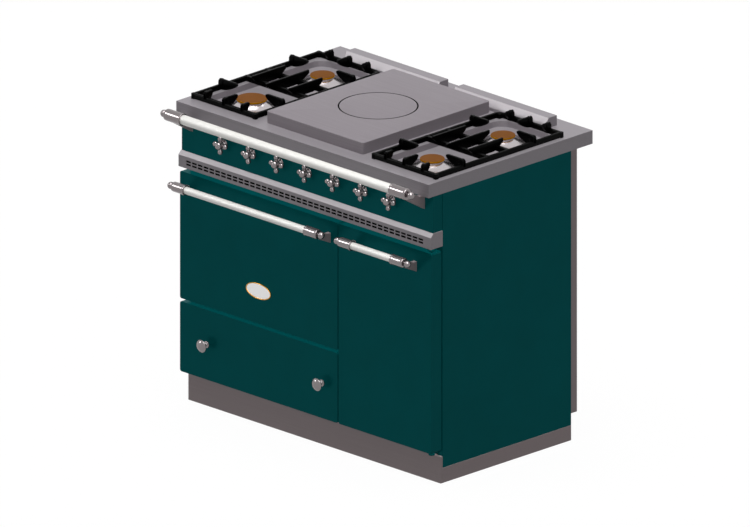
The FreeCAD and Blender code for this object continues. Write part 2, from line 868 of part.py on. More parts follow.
def make_oven_liner():
    """The enamelled oven cavity, with a hole for the burner's pipe in its back."""
    outer, inner = liner("oven_shell", OVEN_ACROSS, OVEN_DEEP, OVEN_HIGH)
    through = grown((OVEN_DEEP[1], OVEN_DEEP[1] + size.liner_sheet), size.overrun)
    hole = rod("liner_pipe_hole", "Y", (OVEN_MIDDLE, OVEN_BURNER_HEIGHT), through, size.pipe_hole_radius)
    keep("oven_liner", cut("oven_liner", outer, inner, hole))


def make_oven_insulation():
    """The wool blanket around the liner."""
    wall = size.liner_sheet
    wool = size.insulation
    deep = (OVEN_DEEP[0], OVEN_DEEP[1] + wall)
    across = grown(OVEN_ACROSS, wall)
    high = grown(OVEN_HIGH, wall)
    block = box("wool_block", grown(across, wool), (deep[0], deep[1] + wool), grown(high, wool - wall * 2))
    space = box("wool_space", across, (deep[0] - size.overrun, deep[1]), high)
    through = grown((deep[1], deep[1] + wool), size.overrun)
    hole = rod("wool_pipe_hole", "Y", (OVEN_MIDDLE, OVEN_BURNER_HEIGHT), through, size.pipe_hole_radius)
    keep("oven_insulation", cut("oven_insulation", block, space, hole))


def make_oven_burner():
    """A tube burner that lies on the cavity floor, with its supply pipe out at the back."""
    centre = (OVEN_MIDDLE, OVEN_BURNER_HEIGHT)
    deep = (OVEN_DEEP[0] + size.insulation, OVEN_DEEP[1] - size.overrun)
    tube = rod("oven_burner_tube", "Y", centre, deep, size.oven_burner_radius)
    drop = back(CABINET_END - size.pipe_drop_rear_gap)
    feed = rod("oven_burner_feed", "Y", centre, (deep[1], drop), size.oven_pipe_radius)
    keep("oven_burner", fuse("oven_burner", tube, feed))


def make_oven_furniture():
    """The sole plate over the burner, two rack ladders and one wire rack."""
    floor = size.oven_bottom
    inset = size.sole_inset
    sheet_wall = size.sole_sheet
    across = grown(OVEN_ACROSS, -inset)
    deep = grown(OVEN_DEEP, -inset)
    high = (floor, floor + size.sole_height)
    block = box("sole_block", across, deep, high)
    space = box(
        "sole_space",
        grown(across, -sheet_wall),
        grown(deep, size.overrun),
        (high[0] - size.overrun, high[1] - sheet_wall),
    )
    sole = cut("sole_plate", block, space)
    thick = size.ladder_sheet
    ladder_deep = grown(OVEN_DEEP, -size.ladder_inset)
    level = [floor + OVEN_HEIGHT * share for share in LADDER_SHARES]
    wall_x = OVEN_ACROSS[0]
    steps = [
        box("ladder_step", (wall_x, wall_x + size.ladder_ledge), ladder_deep, (z, z + thick)) for z in level
    ]
    reach = (level[0] - size.ladder_ledge, level[-1] + size.ladder_ledge)
    posts = [
        box("ladder_post", (wall_x, wall_x + thick), (y, y + size.ladder_ledge), reach)
        for y in (ladder_deep[0], ladder_deep[1] - size.ladder_ledge)
    ]
    ladder = fuse("ladder_left", *steps, *posts)
    shift = OVEN_MIDDLE * 2
    other = mirrored("ladder_right", ladder)
    bind_place(other, (shift, 0, 0))
    rod_r = size.rack_rod_radius
    wire_r = size.rack_wire_radius
    rack_z = level[1] + thick + rod_r
    rack_x = grown(OVEN_ACROSS, -size.ladder_ledge / 2)
    side_x = (rack_x[0] + rod_r, rack_x[1] - rod_r)
    wires = [rod("rack_side", "Y", (x, rack_z), ladder_deep, rod_r) for x in side_x]
    overlap = grown(side_x, rod_r / 2)
    for y in grown(ladder_deep, -rod_r):
        wires.append(rod("rack_end", "X", (y, rack_z), overlap, rod_r))
    count = int((rack_x[1].number - rack_x[0].number) / size.rack_wire_pitch.number)
    spacing = (side_x[1] - side_x[0]) / count
    for step in range(1, count):
        x = side_x[0] + spacing * step
        wires.append(rod("rack_wire", "Y", (x, rack_z + rod_r), grown(ladder_deep, -rod_r), wire_r))
    rack = fuse("wire_rack", *wires)
    keep("oven_furniture", group("oven_furniture", sole, ladder, other, rack))


# Doors
def door_skin(name, across, high):
    """An enamelled tray with rounded corners, open at the back."""
    wall = size.door_sheet
    deep = (back(size.door_front), back(size.door_back))
    outline = rounded_rectangle(across, high, size.door_corner)
    inside = rounded_rectangle(grown(across, -wall), grown(high, -wall), size.door_corner - wall)
    block = prism(name + "_block", "Y", outline, deep)
    space = prism(name + "_space", "Y", inside, (deep[0] + wall, deep[1] + size.overrun))
    return block, space


OVEN_DOOR_ACROSS = (along(size.door_side_gap), along(DOOR_SPLIT - size.door_split_gap / 2))
OVEN_DOOR_HIGH = (size.drawer_top + size.drawer_gap, DOOR_TOP)
DRAWER_HIGH = (size.door_bottom, size.drawer_top)
CUPBOARD_DOOR_ACROSS = (
    along(DOOR_SPLIT + size.door_split_gap / 2),
    along(size.worktop_width - size.door_side_gap),
)
CUPBOARD_DOOR_HIGH = (size.door_bottom, DOOR_TOP)
DOOR_INSIDE = (back(size.door_back) - size.door_sheet, back(size.door_back))
EAR_PLACES = (
    ("left", OVEN_DOOR_ACROSS[0] + size.ear_inset),
    ("right", OVEN_DOOR_ACROSS[1] - size.ear_inset),
)
OVEN_PIVOT = (back(size.oven_pivot_back), size.oven_pivot_height)


def hinge_notches(name):
    """Slots in the door's lower edge that the fixed ears reach into."""
    half = size.hinge_notch / 2
    deep = (back(size.door_front) + size.door_sheet, back(size.door_back) + size.overrun)
    high = (OVEN_DOOR_HIGH[0] - size.overrun, size.hinge_slot_top)
    return [box(name, (x - half, x + half), deep, high) for side, x in EAR_PLACES]


def make_oven_door():
    """Outer skin, inner plate with its plug, wool, gasket and hinge arms."""
    block, space = door_skin("oven_door", OVEN_DOOR_ACROSS, OVEN_DOOR_HIGH)
    skin = cut("oven_door_panel", block, space, *hinge_notches("skin_notch"))
    keep("oven_door_panel", skin)
    wall = size.door_sheet
    plate_outline = rounded_rectangle(
        grown(OVEN_DOOR_ACROSS, -wall), grown(OVEN_DOOR_HIGH, -wall), size.door_corner - wall
    )
    plate = prism("oven_door_plate", "Y", plate_outline, DOOR_INSIDE)
    plug_across = grown(OVEN_ACROSS, -size.plug_inset)
    plug_high = grown(OVEN_HIGH, -size.plug_inset)
    plug_deep = (DOOR_INSIDE[0], DOOR_INSIDE[1] + size.plug_depth)
    plug_outline = rounded_rectangle(plug_across, plug_high, size.door_corner)
    plug = prism("oven_door_plug", "Y", plug_outline, plug_deep)
    hollow = box(
        "plug_hollow",
        grown(plug_across, -size.door_corner),
        (DOOR_INSIDE[0] - size.overrun, plug_deep[1] - wall),
        grown(plug_high, -size.door_corner),
    )
    joined = fuse("oven_door_pressing", plate, plug)
    inner = cut("door_liner_sheet", joined, hollow, *hinge_notches("inner_notch"))
    wool = box(
        "door_wool",
        grown(plug_across, -size.door_corner),
        (back(size.door_front) + wall, plug_deep[1] - wall),
        grown(plug_high, -size.door_corner),
    )
    keep("oven_door_inner", group("oven_door_inner", inner, wool))
    margin = size.gasket_margin
    outer_edge = margin + size.gasket_width
    deep = (DOOR_INSIDE[1], CABINET_FRONT - size.gasket_gap)
    band = box("gasket_band", grown(OVEN_ACROSS, outer_edge), deep, grown(OVEN_HIGH, outer_edge))
    middle = box(
        "gasket_middle", grown(OVEN_ACROSS, margin), grown(deep, size.overrun), grown(OVEN_HIGH, margin)
    )
    keep("oven_door_gasket", cut("oven_door_gasket", band, middle))


def make_oven_hinges():
    """Arms with pins in the door, which turn in the fixed ears of the face frame."""
    half_arm = size.hinge_arm_width / 2
    half_slot = size.hinge_slot / 2
    low = OVEN_DOOR_HIGH[0] + size.door_sheet
    deep = (back(size.door_front) + size.door_sheet, DOOR_INSIDE[0])
    arms = []
    ears = []
    for side, x in EAR_PLACES:
        across = (x - half_arm, x + half_arm)
        block = box("arm_block_" + side, across, deep, (low, low + size.hinge_arm_height))
        slot = box(
            "arm_slot_" + side,
            (x - half_slot, x + half_slot),
            grown(deep, size.overrun),
            (low - size.overrun, size.hinge_slot_top),
        )
        cheeks = cut("arm_cheeks_" + side, block, slot)
        pin = rod("arm_pin_" + side, "X", OVEN_PIVOT, across, size.hinge_pin_radius)
        arms.append(fuse("hinge_arm_" + side, cheeks, pin))
        half_ear = size.ear_thickness / 2
        ear_across = (x - half_ear, x + half_ear)
        eye = rod("ear_eye_" + side, "X", OVEN_PIVOT, ear_across, size.ear_radius)
        half_high = size.ear_half_height
        neck = box(
            "ear_neck_" + side,
            ear_across,
            (OVEN_PIVOT[0], CABINET_FRONT),
            (OVEN_PIVOT[1] - half_high, OVEN_PIVOT[1] + half_high),
        )
        bore_radius = size.hinge_pin_radius + size.hinge_play
        bore = rod("ear_bore_" + side, "X", OVEN_PIVOT, grown(ear_across, size.overrun), bore_radius)
        ears.append(cut("hinge_ear_" + side, fuse("ear_" + side, eye, neck), bore))
    keep("oven_hinge_arms", group("oven_hinge_arms", *arms))
    return ears


CUPBOARD_PIVOT = (CUPBOARD_DOOR_ACROSS[1] - size.cupboard_pivot_inset, OVEN_PIVOT[0])


def cupboard_ends():
    """The door's two ends as (name, height of the edge, way out along Z)."""
    return (("lower", CUPBOARD_DOOR_HIGH[0], -1), ("upper", CUPBOARD_DOOR_HIGH[1], 1))


def upright(start, length, way):
    """A span that goes a length up or down from a height, lowest first."""
    end = start + length * way
    return (start, end) if way > 0 else (end, start)


def make_cupboard_door():
    """Outer skin and inner plate, with a bored block at each end of the hinge side."""
    block, space = door_skin("cupboard_door", CUPBOARD_DOOR_ACROSS, CUPBOARD_DOOR_HIGH)
    wall = size.door_sheet
    x, y = CUPBOARD_PIVOT
    bore_radius = size.cupboard_pin_radius + size.hinge_play
    skin_bores = []
    blocks = []
    for name, edge, way in cupboard_ends():
        through = grown((edge, edge), size.overrun)
        skin_bores.append(rod("skin_bore_" + name, "Z", (x, y), through, bore_radius))
        high = upright(edge - wall * way, size.cupboard_block, -way)
        half = size.cupboard_block / 2
        front = back(size.door_front) + wall
        solid = box("pivot_block_" + name, (x - half, x + half / 2), (front, DOOR_INSIDE[0]), high)
        bore = rod("block_bore_" + name, "Z", (x, y), grown(high, size.overrun), bore_radius)
        blocks.append(cut("pivot_" + name, solid, bore))
    keep("cupboard_door_panel", cut("cupboard_door_panel", block, space, *skin_bores))
    plate_outline = rounded_rectangle(
        grown(CUPBOARD_DOOR_ACROSS, -wall), grown(CUPBOARD_DOOR_HIGH, -wall), size.door_corner - wall
    )
    plate = prism("cupboard_door_plate", "Y", plate_outline, DOOR_INSIDE)
    keep("cupboard_door_inner", group("cupboard_door_inner", plate, *blocks))


def make_hinge_brackets():
    """Fixed hinge pieces: two eared ones for the oven door, two pins for the cupboard door."""
    ears = make_oven_hinges()
    x, y = CUPBOARD_PIVOT
    brackets = []
    for name, edge, way in cupboard_ends():
        high = upright(edge + size.cupboard_bracket_gap * way, size.cupboard_bracket_thickness, way)
        eye = rod("bracket_eye_" + name, "Z", (x, y), high, size.cupboard_bracket_radius)
        half = size.cupboard_bracket_radius
        arm = box("bracket_arm_" + name, (x - half * 2, x), (y, CABINET_FRONT), high)
        root_end = high[0] if way > 0 else high[1]
        pin_high = upright(root_end, size.cupboard_pin_depth, -way)
        pin = rod("bracket_pin_" + name, "Z", (x, y), pin_high, size.cupboard_pin_radius)
        brackets.append(fuse("cupboard_bracket_" + name, eye, arm, pin))
    keep("door_hinge_brackets", group("door_hinge_brackets", *ears, *brackets))


def make_cupboard_liner():
    """The cupboard's lining with one fixed shelf across it."""
    across = (along(CUPBOARD_LEFT), along(CUPBOARD_LEFT + CUPBOARD_WIDTH))
    high = (size.cupboard_bottom, size.cupboard_bottom + CUPBOARD_HEIGHT)
    outer, inner = liner("cupboard_shell", across, OVEN_DEEP, high)
    lining = cut("cupboard_lining", outer, inner)
    low = size.cupboard_shelf_height
    deep = grown(OVEN_DEEP, -size.sole_inset)
    shelf = box("cupboard_shelf", across, deep, (low, low + size.liner_sheet))
    keep("cupboard_liner", group("cupboard_liner", lining, shelf))


# Drawer
BAY_ACROSS = (along(size.bay_side_border), along(size.bay_side_border + BAY_WIDTH))
BOX_ACROSS = grown(BAY_ACROSS, -size.drawer_box_inset)
BOX_HIGH = (size.drawer_box_bottom, size.drawer_box_top)


def make_drawer():
    """The front, and the box behind it with a runner strip on each side."""
    block, space = door_skin("drawer_skin", OVEN_DOOR_ACROSS, DRAWER_HIGH)
    keep("drawer_front", cut("drawer_front", block, space))
    wall = size.drawer_sheet
    plate_outline = rounded_rectangle(
        grown(OVEN_DOOR_ACROSS, -size.door_sheet),
        grown(DRAWER_HIGH, -size.door_sheet),
        size.door_corner - size.door_sheet,
    )
    plate = prism("drawer_plate", "Y", plate_outline, DOOR_INSIDE)
    deep = (DOOR_INSIDE[0], back(FRAME_END - size.drawer_box_rear_gap))
    outer = box("drawer_outer", BOX_ACROSS, deep, BOX_HIGH)
    space = box(
        "drawer_space",
        grown(BOX_ACROSS, -wall),
        (DOOR_INSIDE[1], deep[1] - wall),
        (BOX_HIGH[0] + wall, BOX_HIGH[1] + size.overrun),
    )
    play = size.runner_play
    low = size.rail_low + size.rail_wall + play
    high = size.rail_low + size.rail_height - size.rail_wall - play
    depth = size.rail_width - size.rail_wall + size.drawer_box_inset - size.rail_width - play
    runner_deep = (OVEN_DEEP[0], deep[1] - size.overrun)
    left = box("runner_left", (BOX_ACROSS[0] - depth, BOX_ACROSS[0]), runner_deep, (low, high))
    right = box("runner_right", (BOX_ACROSS[1], BOX_ACROSS[1] + depth), runner_deep, (low, high))
    tray = cut("drawer_tray", outer, space)
    keep("drawer_box", fuse("drawer_box", plate, tray, left, right))


def make_drawer_rails():
    """Two fixed channels on the bay's walls that hold the drawer's runner strips."""
    deep = (OVEN_DEEP[0], back(FRAME_END))
    high = (size.rail_low, size.rail_low + size.rail_height)
    rails = []
    walls = (INSIDE[0], along(DOOR_SPLIT))
    for side, edge, wall, way in (
        ("left", BAY_ACROSS[0], walls[0], 1),
        ("right", BAY_ACROSS[1], walls[1], -1),
    ):
        lip = edge + size.rail_width * way
        across = (wall, lip) if way > 0 else (lip, wall)
        groove = upright(edge + size.rail_wall * way, size.rail_width, way)
        solid = box("rail_block_" + side, across, deep, high)
        channel = box("rail_groove_" + side, groove, grown(deep, size.overrun), grown(high, -size.rail_wall))
        rails.append(cut("drawer_rail_" + side, solid, channel))
    keep("drawer_rails", group("drawer_rails", *rails))


def make_drawer_knobs():
    """Two turned mushroom knobs."""
    radius = size.pull_radius
    rise = size.pull_crown - size.pull_edge
    crown = (radius * radius + rise * rise) / (rise * 2)
    corners = [
        (0, 0),
        (size.pull_foot_radius, 0),
        (size.pull_foot_radius, size.pull_foot),
        (size.pull_stem_radius, size.pull_foot * 2),
        (size.pull_stem_radius, size.pull_stem),
        (radius, size.pull_edge - size.pull_foot / 2),
        (radius, size.pull_edge, crown, 1),
        (0, size.pull_crown),
    ]
    knobs = []
    for side, left in (("left", size.pull_left), ("right", DOOR_SPLIT - size.pull_right_border)):
        place = (along(left), back(size.door_front), size.pull_height)
        knobs.append(lathe("pull_" + side, corners, place, "-Y"))
    keep("drawer_knobs", group("drawer_knobs", *knobs))


# Control panel, vent strip and gas train
def knob_places():
    """X of each control knob, from the left."""
    return [along(size.knob_first + KNOB_PITCH * index) for index in range(KNOB_COUNT)]


def make_control_panel():
    """A folded tray, open at the back, with a hole for each tap spindle."""
    wall = size.panel_sheet
    across = (along(size.panel_margin), along(size.worktop_width - size.panel_margin))
    deep = (back(size.panel_front), CABINET_FRONT)
    high = (PANEL_BOTTOM, WORKTOP_UNDER)
    block = box("panel_block", across, deep, high)
    inside = (deep[0] + wall, deep[1] + size.overrun)
    space = box("panel_space", grown(across, -wall), inside, grown(high, -wall))
    through = grown((deep[0], deep[0] + wall), size.overrun)
    holes = [
        rod("spindle_hole", "Y", (x, MANIFOLD_HEIGHT), through, size.spindle_hole_radius)
        for x in knob_places()
    ]
    keep("control_panel", cut("control_panel", block, space, *holes))


def make_vent_strip():
    """A folded stainless strip with a bevelled top and two rows of cooling slots."""
    wall = size.panel_sheet
    front = back(size.strip_front)
    low = STRIP_BOTTOM
    top = PANEL_BOTTOM
    slope = size.strip_slope
    outer = [
        (front, low),
        (CABINET_FRONT, low),
        (CABINET_FRONT, top),
        (front + slope, top),
        (front, PANEL_BOTTOM - size.strip_bend_drop),
    ]
    inner = [
        (front + wall, low + wall),
        (CABINET_FRONT + size.overrun, low + wall),
        (CABINET_FRONT + size.overrun, top - wall),
        (front + slope + wall / 2, top - wall),
        (front + wall, PANEL_BOTTOM - size.strip_bend_drop - wall / 2),
    ]
    skin = prism("strip_skin", "X", outer, WHOLE_WIDTH)
    space = prism("strip_space", "X", inner, grown(WHOLE_WIDTH, -wall))
    through = grown((front, front + wall), wall)
    first = -(size.slot_pitch * (SLOT_COUNT - 1) + size.slot_length) / 2
    slots = []
    for row in (-1, 1):
        middle = PANEL_BOTTOM - size.slot_row_drop + size.slot_row_pitch / 2 * row
        for index in range(SLOT_COUNT):
            x = first + size.slot_pitch * index
            high = (middle - size.slot_width / 2, middle + size.slot_width / 2)
            slots.append(box("vent_slot", (x, x + size.slot_length), through, high))
    keep("vent_strip", cut("vent_strip", skin, space, *slots))


def elbow_pipe(name, points, radius):
    """A pipe along straight runs parallel to the axes, with round elbows."""
    pieces = []
    for index in range(len(points) - 1):
        start, end = points[index], points[index + 1]
        for axis in range(3):
            if abs(as_size(end[axis]).number - as_size(start[axis]).number) > 0:
                centre = [start[other] for other in range(3) if other != axis]
                forward = as_size(end[axis]).number > as_size(start[axis]).number
                span = (start[axis], end[axis]) if forward else (end[axis], start[axis])
                pieces.append(rod(f"{name}_run", "XYZ"[axis], centre, span, radius))
    for point in points[1:-1]:
        pieces.append(ball(name + "_elbow", point, radius))
    return fuse(name, *pieces)


def make_gas_manifold():
    """The supply pipe behind the taps with its threaded inlet, and the burner pipes."""
    height = MANIFOLD_HEIGHT
    y = back(size.manifold_back)
    inlet_x = along(INLET_LEFT)
    nut_y = REAR_FACE
    supply = elbow_pipe(
        "supply_pipe",
        [(along(size.manifold_left), y, height), (inlet_x, y, height), (inlet_x, nut_y, height)],
        size.manifold_radius,
    )
    centre = (inlet_x, height)
    nut_end = nut_y + size.inlet_nut_length
    nut = rod("inlet_nut", "Y", centre, (nut_y, nut_end), size.inlet_nut_radius)
    thread = rod("inlet_thread", "Y", centre, (nut_end, nut_end + size.inlet_length), size.inlet_radius)
    main = fuse("gas_supply", supply, nut, thread)
    taps = knob_places()
    tap_y = back((size.panel_front + size.manifold_back) / 2)
    start_z = height + size.tap_radius
    pipe_z = WORKTOP_UNDER - size.pipe_drop
    radius = size.oven_pipe_radius
    jet_z = BOWL_FLOOR - size.cup_depth - size.jet_tube_length
    pipes = []
    for place, tap in zip(burner_places(), (taps[0], taps[1], taps[6], taps[5])):
        name, x, burner_y, cap = place
        points = [(tap, tap_y, start_z), (tap, tap_y, pipe_z), (tap, burner_y, pipe_z)]
        points += [(x, burner_y, pipe_z), (x, burner_y, jet_z)]
        pipes.append(elbow_pipe("burner_pipe_" + name, points, radius))
    simmer_y = back(size.simmer_front + SIMMER_LENGTH / 2)
    simmer_z = WORKTOP_TOP - size.worktop_sheet - size.simmer_bar_thickness - size.simmer_burner_height
    points = [(taps[3], tap_y, start_z), (taps[3], tap_y, pipe_z), (taps[3], simmer_y, pipe_z)]
    points += [(taps[3], simmer_y, simmer_z)]
    pipes.append(elbow_pipe("simmer_pipe", points, radius))
    drop_y = back(CABINET_END - size.pipe_drop_rear_gap)
    points = [(taps[2], tap_y, start_z), (taps[2], tap_y, pipe_z), (taps[2], drop_y, pipe_z)]
    feed_z = OVEN_BURNER_HEIGHT
    points += [(taps[2], drop_y, feed_z), (OVEN_MIDDLE + radius, drop_y, feed_z)]
    pipes.append(elbow_pipe("oven_pipe", points, radius))
    keep("gas_manifold", group("gas_manifold", main, *pipes))


def make_gas_taps():
    """Seven tap bodies between the control panel and the supply pipe."""
    height = MANIFOLD_HEIGHT
    front = back(size.panel_front) + size.panel_sheet
    y = back(size.manifold_back)
    taps = []
    for index, x in enumerate(knob_places()):
        barrel = rod(f"tap_barrel_{index}", "Y", (x, height), (front, y), size.tap_radius)
        bore_radius = size.spindle_radius + size.spindle_play
        bore_span = (front - size.overrun, front + size.tap_bore_depth)
        bore = rod(f"tap_bore_{index}", "Y", (x, height), bore_span, bore_radius)
        half = size.tap_radius * 2
        pipe = rod(f"tap_seat_{index}", "X", (y, height), (x - half, x + half), size.manifold_radius)
        taps.append(cut(f"gas_tap_{index}", barrel, bore, pipe))
    keep("gas_taps", group("gas_taps", *taps))


def make_spindles_and_knobs():
    """A sprung spindle in each tap, and a knob with four ball lobes on each spindle."""
    height = MANIFOLD_HEIGHT
    knob_back = back(size.panel_front) - size.knob_gap
    spindle_front = back(size.spindle_tip)
    skirt = size.knob_skirt_radius
    bore = size.spindle_radius + size.spindle_play
    bore_depth = knob_back - spindle_front + size.spindle_tip
    neck = size.knob_neck_height
    globe = size.knob_ball_radius
    cross = size.knob_cross_height
    widest = cross + size.knob_ball_reach
    top = widest + globe
    lobe = size.lobe_radius
    lobe_x = size.lobe_offset
    arm = size.lobe_arm_radius
    profile = [
        (bore, 0),
        (skirt, 0),
        (skirt, size.knob_skirt_edge),
        (size.knob_neck_radius, neck),
        (globe, widest, globe, 1),
        (0, top),
        (0, bore_depth),
        (bore, bore_depth),
    ]
    for index, x in enumerate(knob_places()):
        span = (spindle_front, spindle_front + size.spindle_length)
        rod_name = f"tap_spindle_{index + 1}"
        keep(rod_name, rod(rod_name, "Y", (x, height), span, size.spindle_radius))
        name = f"control_knob_{index + 1}"
        place = (x, knob_back, height)
        hub = lathe(name + "_hub", profile, (0, 0, 0))
        pieces = [hub]
        for axis, sides in (("X", (-1, 1)), ("Y", (-1, 1))):
            for side in sides:
                inner = globe / 2
                span = (inner, lobe_x) if side > 0 else (-lobe_x, -inner)
                other = (0, cross)
                pieces.append(rod(f"{name}_arm", axis, other, span, arm))
                spot = [0, 0, cross]
                spot["XY".index(axis)] = lobe_x * side
                pieces.append(ball(f"{name}_lobe", spot, lobe))
        knob = fuse(name, *pieces)
        bind_place(knob, place, TURN_TO["-Y"])
        keep(name, knob)


# Burners
def make_burners():
    """Four cast heads with a polished skirt around each, and a cap that lifts off."""
    heads = []
    skirts = []
    floor = BOWL_FLOOR
    cap_under = WORKTOP_TOP + size.cap_proud - size.cap_thickness - floor
    for name, x, y, cap in burner_places():
        place = (x, y, floor)
        crown = cap - size.crown_inset
        neck = cap - size.neck_inset
        flange = cap + size.flange_reach
        well = crown - size.crown_wall
        thick = size.flange_thickness
        cup = size.cup_radius
        jet = size.jet_tube_radius
        bottom = -size.cup_depth - size.jet_tube_length
        corners = [
            (size.jet_bore, bottom),
            (jet, bottom),
            (jet, -size.cup_depth),
            (cup, -size.cup_depth),
            (cup, 0),
            (flange, 0),
            (flange, thick),
            (neck, thick),
            (neck, cap_under - size.crown_height),
            (crown, cap_under - size.crown_height / 2),
            (crown, cap_under),
            (well, cap_under),
            (well, thick),
            (size.jet_bore, thick),
        ]
        heads.append(lathe("burner_head_" + name, corners, place))
        inner = neck + size.skirt_play
        low = flange + size.skirt_play
        edge = size.skirt_radius
        rim = size.skirt_rim
        corners = [
            (low, 0),
            (edge, 0),
            (edge, rim, size.skirt_radius / 2, -1),
            (inner + rim, size.skirt_rise),
            (inner, size.skirt_rise),
            (inner, thick + size.skirt_play),
            (low, thick + size.skirt_play),
        ]
        skirts.append(lathe("burner_skirt_" + name, corners, place))
        bevel = size.cap_edge
        spigot = well - size.spigot_play
        corners = [
            (0, cap_under - size.spigot_length),
            (spigot, cap_under - size.spigot_length),
            (spigot, cap_under),
            (cap - bevel, cap_under),
            (cap, cap_under + bevel),
            (cap, cap_under + size.cap_thickness - bevel),
            (cap - bevel, cap_under + size.cap_thickness),
            (0, cap_under + size.cap_thickness),
        ]
        keep("burner_cap_" + name, lathe("burner_cap_" + name, corners, place))
    keep("burner_heads", group("burner_heads", *heads))
    keep("burner_skirts", group("burner_skirts", *skirts))


SIMMER_ACROSS = (-SIMMER_WIDTH / 2, SIMMER_WIDTH / 2)
SIMMER_CENTRE = (SIMMER_DEEP[0] + SIMMER_DEEP[1]) / 2


def make_simmer_plate():
    """A cast plate with a hollow under it, a lift-out disc on a ledge, and its burner."""
    base = WORKTOP_TOP
    top = base + size.simmer_height
    outline = rounded_rectangle(SIMMER_ACROSS, SIMMER_DEEP, size.simmer_corner)
    block = prism("simmer_block", "Z", outline, (base, top))
    wall = size.simmer_wall
    space = box(
        "simmer_space",
        grown(SIMMER_ACROSS, -wall),
        grown(SIMMER_DEEP, -wall),
        (base - size.overrun, top - size.simmer_top),
    )
    centre = (0, SIMMER_CENTRE)
    seat = top - size.disc_thickness
    recess = rod("disc_recess", "Z", centre, (seat, top + size.overrun), DISC_RADIUS + size.disc_play)
    hole = rod("disc_hole", "Z", centre, (base, top), DISC_RADIUS - size.disc_ledge)
    keep("simmer_plate", cut("simmer_plate", cut("simmer_casting", block, space), recess, hole))
    keep("simmer_disc", rod("simmer_disc", "Z", centre, (seat, top), DISC_RADIUS))
    under = base - size.worktop_sheet
    bar = (under - size.simmer_bar_thickness, under)
    reach = SIMMER_WIDTH / 2 - size.simmer_seat_side + size.simmer_bar_overlap
    half = size.simmer_bar_width / 2
    strap = box("simmer_strap", (-reach, reach), (SIMMER_CENTRE - half, SIMMER_CENTRE + half), bar)
    low = bar[0] - size.simmer_burner_height
    pot = rod("simmer_pot", "Z", centre, (low, bar[0]), size.simmer_burner_radius)
    keep("simmer_burner", fuse("simmer_burner", strap, pot))


# Grates
def finger(name, axis, root, reach, middle, way):
    """One pot finger: a web that rises to a horn at its rail and thins towards its tip."""
    base = WORKTOP_TOP + size.grate_rail_gap
    top = WORKTOP_TOP + size.grate_top
    half = size.finger_width / 2
    tip = root + (reach + size.grate_rail_width) * way
    knee = root + size.finger_root * way
    horn = root + size.finger_horn * way
    corners = [
        (root, base),
        (knee, base),
        (tip, top - size.finger_tip),
        (tip, top),
        (horn, top),
        (root, top - size.finger_horn),
    ]
    if way < 0:
        corners = corners[::-1]
    return prism(name, axis, corners, (middle - half, middle + half))


def make_grates():
    """Two cast grates: a ring of rails on corner feet, cross rails, bars and fingers."""
    left = along(size.grate_margin)
    across = (left, left + size.grate_width)
    front = back(GRATE_FRONT)
    deep = (front, front + GRATE_LENGTH)
    base = WORKTOP_TOP + size.grate_rail_gap
    rail_top = WORKTOP_TOP + size.grate_rail_top
    rail = size.grate_rail_width
    outline = rounded_rectangle(across, deep, size.grate_corner)
    ring = prism("grate_ring", "Z", outline, (base, rail_top))
    inside = rounded_rectangle(grown(across, -rail), grown(deep, -rail), size.grate_inner_corner)
    window = prism("grate_window", "Z", inside, grown((base, rail_top), size.overrun))
    pieces = [cut("grate_rails", ring, window)]
    foot = size.grate_foot
    for x in (across[0], across[1] - foot):
        for y in (deep[0], deep[1] - foot):
            feet_outline = rounded_rectangle((x, x + foot), (y, y + foot), size.grate_inner_corner)
            pieces.append(prism("grate_foot_block", "Z", feet_outline, (WORKTOP_TOP, rail_top)))
    centre = along(GRATE_MIDDLE)
    middle = (deep[0] + deep[1]) / 2
    top = WORKTOP_TOP + size.grate_top
    for offset in (-size.cross_rail_offset, size.cross_rail_offset):
        y = (middle + offset - rail / 2, middle + offset + rail / 2)
        pieces.append(box("cross_rail", across, y, (base, rail_top)))
    half = size.finger_width / 2
    for offset in (-1, 0, 1):
        x = centre + size.finger_offset * offset
        reach = size.middle_bar_reach if offset == 0 else size.side_bar_reach
        slope = size.cross_rail_offset - rail
        corners = [
            (middle - slope, base),
            (middle + slope, base),
            (middle + reach, top - size.finger_tip),
            (middle + reach, top),
            (middle - reach, top),
            (middle - reach, top - size.finger_tip),
        ]
        pieces.append(prism("grate_bar", "X", corners, (x - half, x + half)))
        long_finger = size.centre_finger_reach if offset == 0 else size.side_finger_reach
        inner_reach = long_finger - rail
        pieces.append(finger("front_finger", "X", deep[0], inner_reach, x, 1))
        pieces.append(finger("rear_finger", "X", deep[1], inner_reach, x, -1))
    for y in BURNER_ROWS:
        pieces.append(finger("left_finger", "Y", across[0], size.finger_reach, y, 1))
        pieces.append(finger("right_finger", "Y", across[1], size.finger_reach, y, -1))
    whole = keep("grate_left", fuse("grate_left", *pieces))
    keep("grate_right", mirrored("grate_right", whole))


# Handrail, door handles and badge
BRACKET_TOP_SHARES = (0.5, 0.45)
BRACKET_LOW_SHARES = (0.5, 0.75)


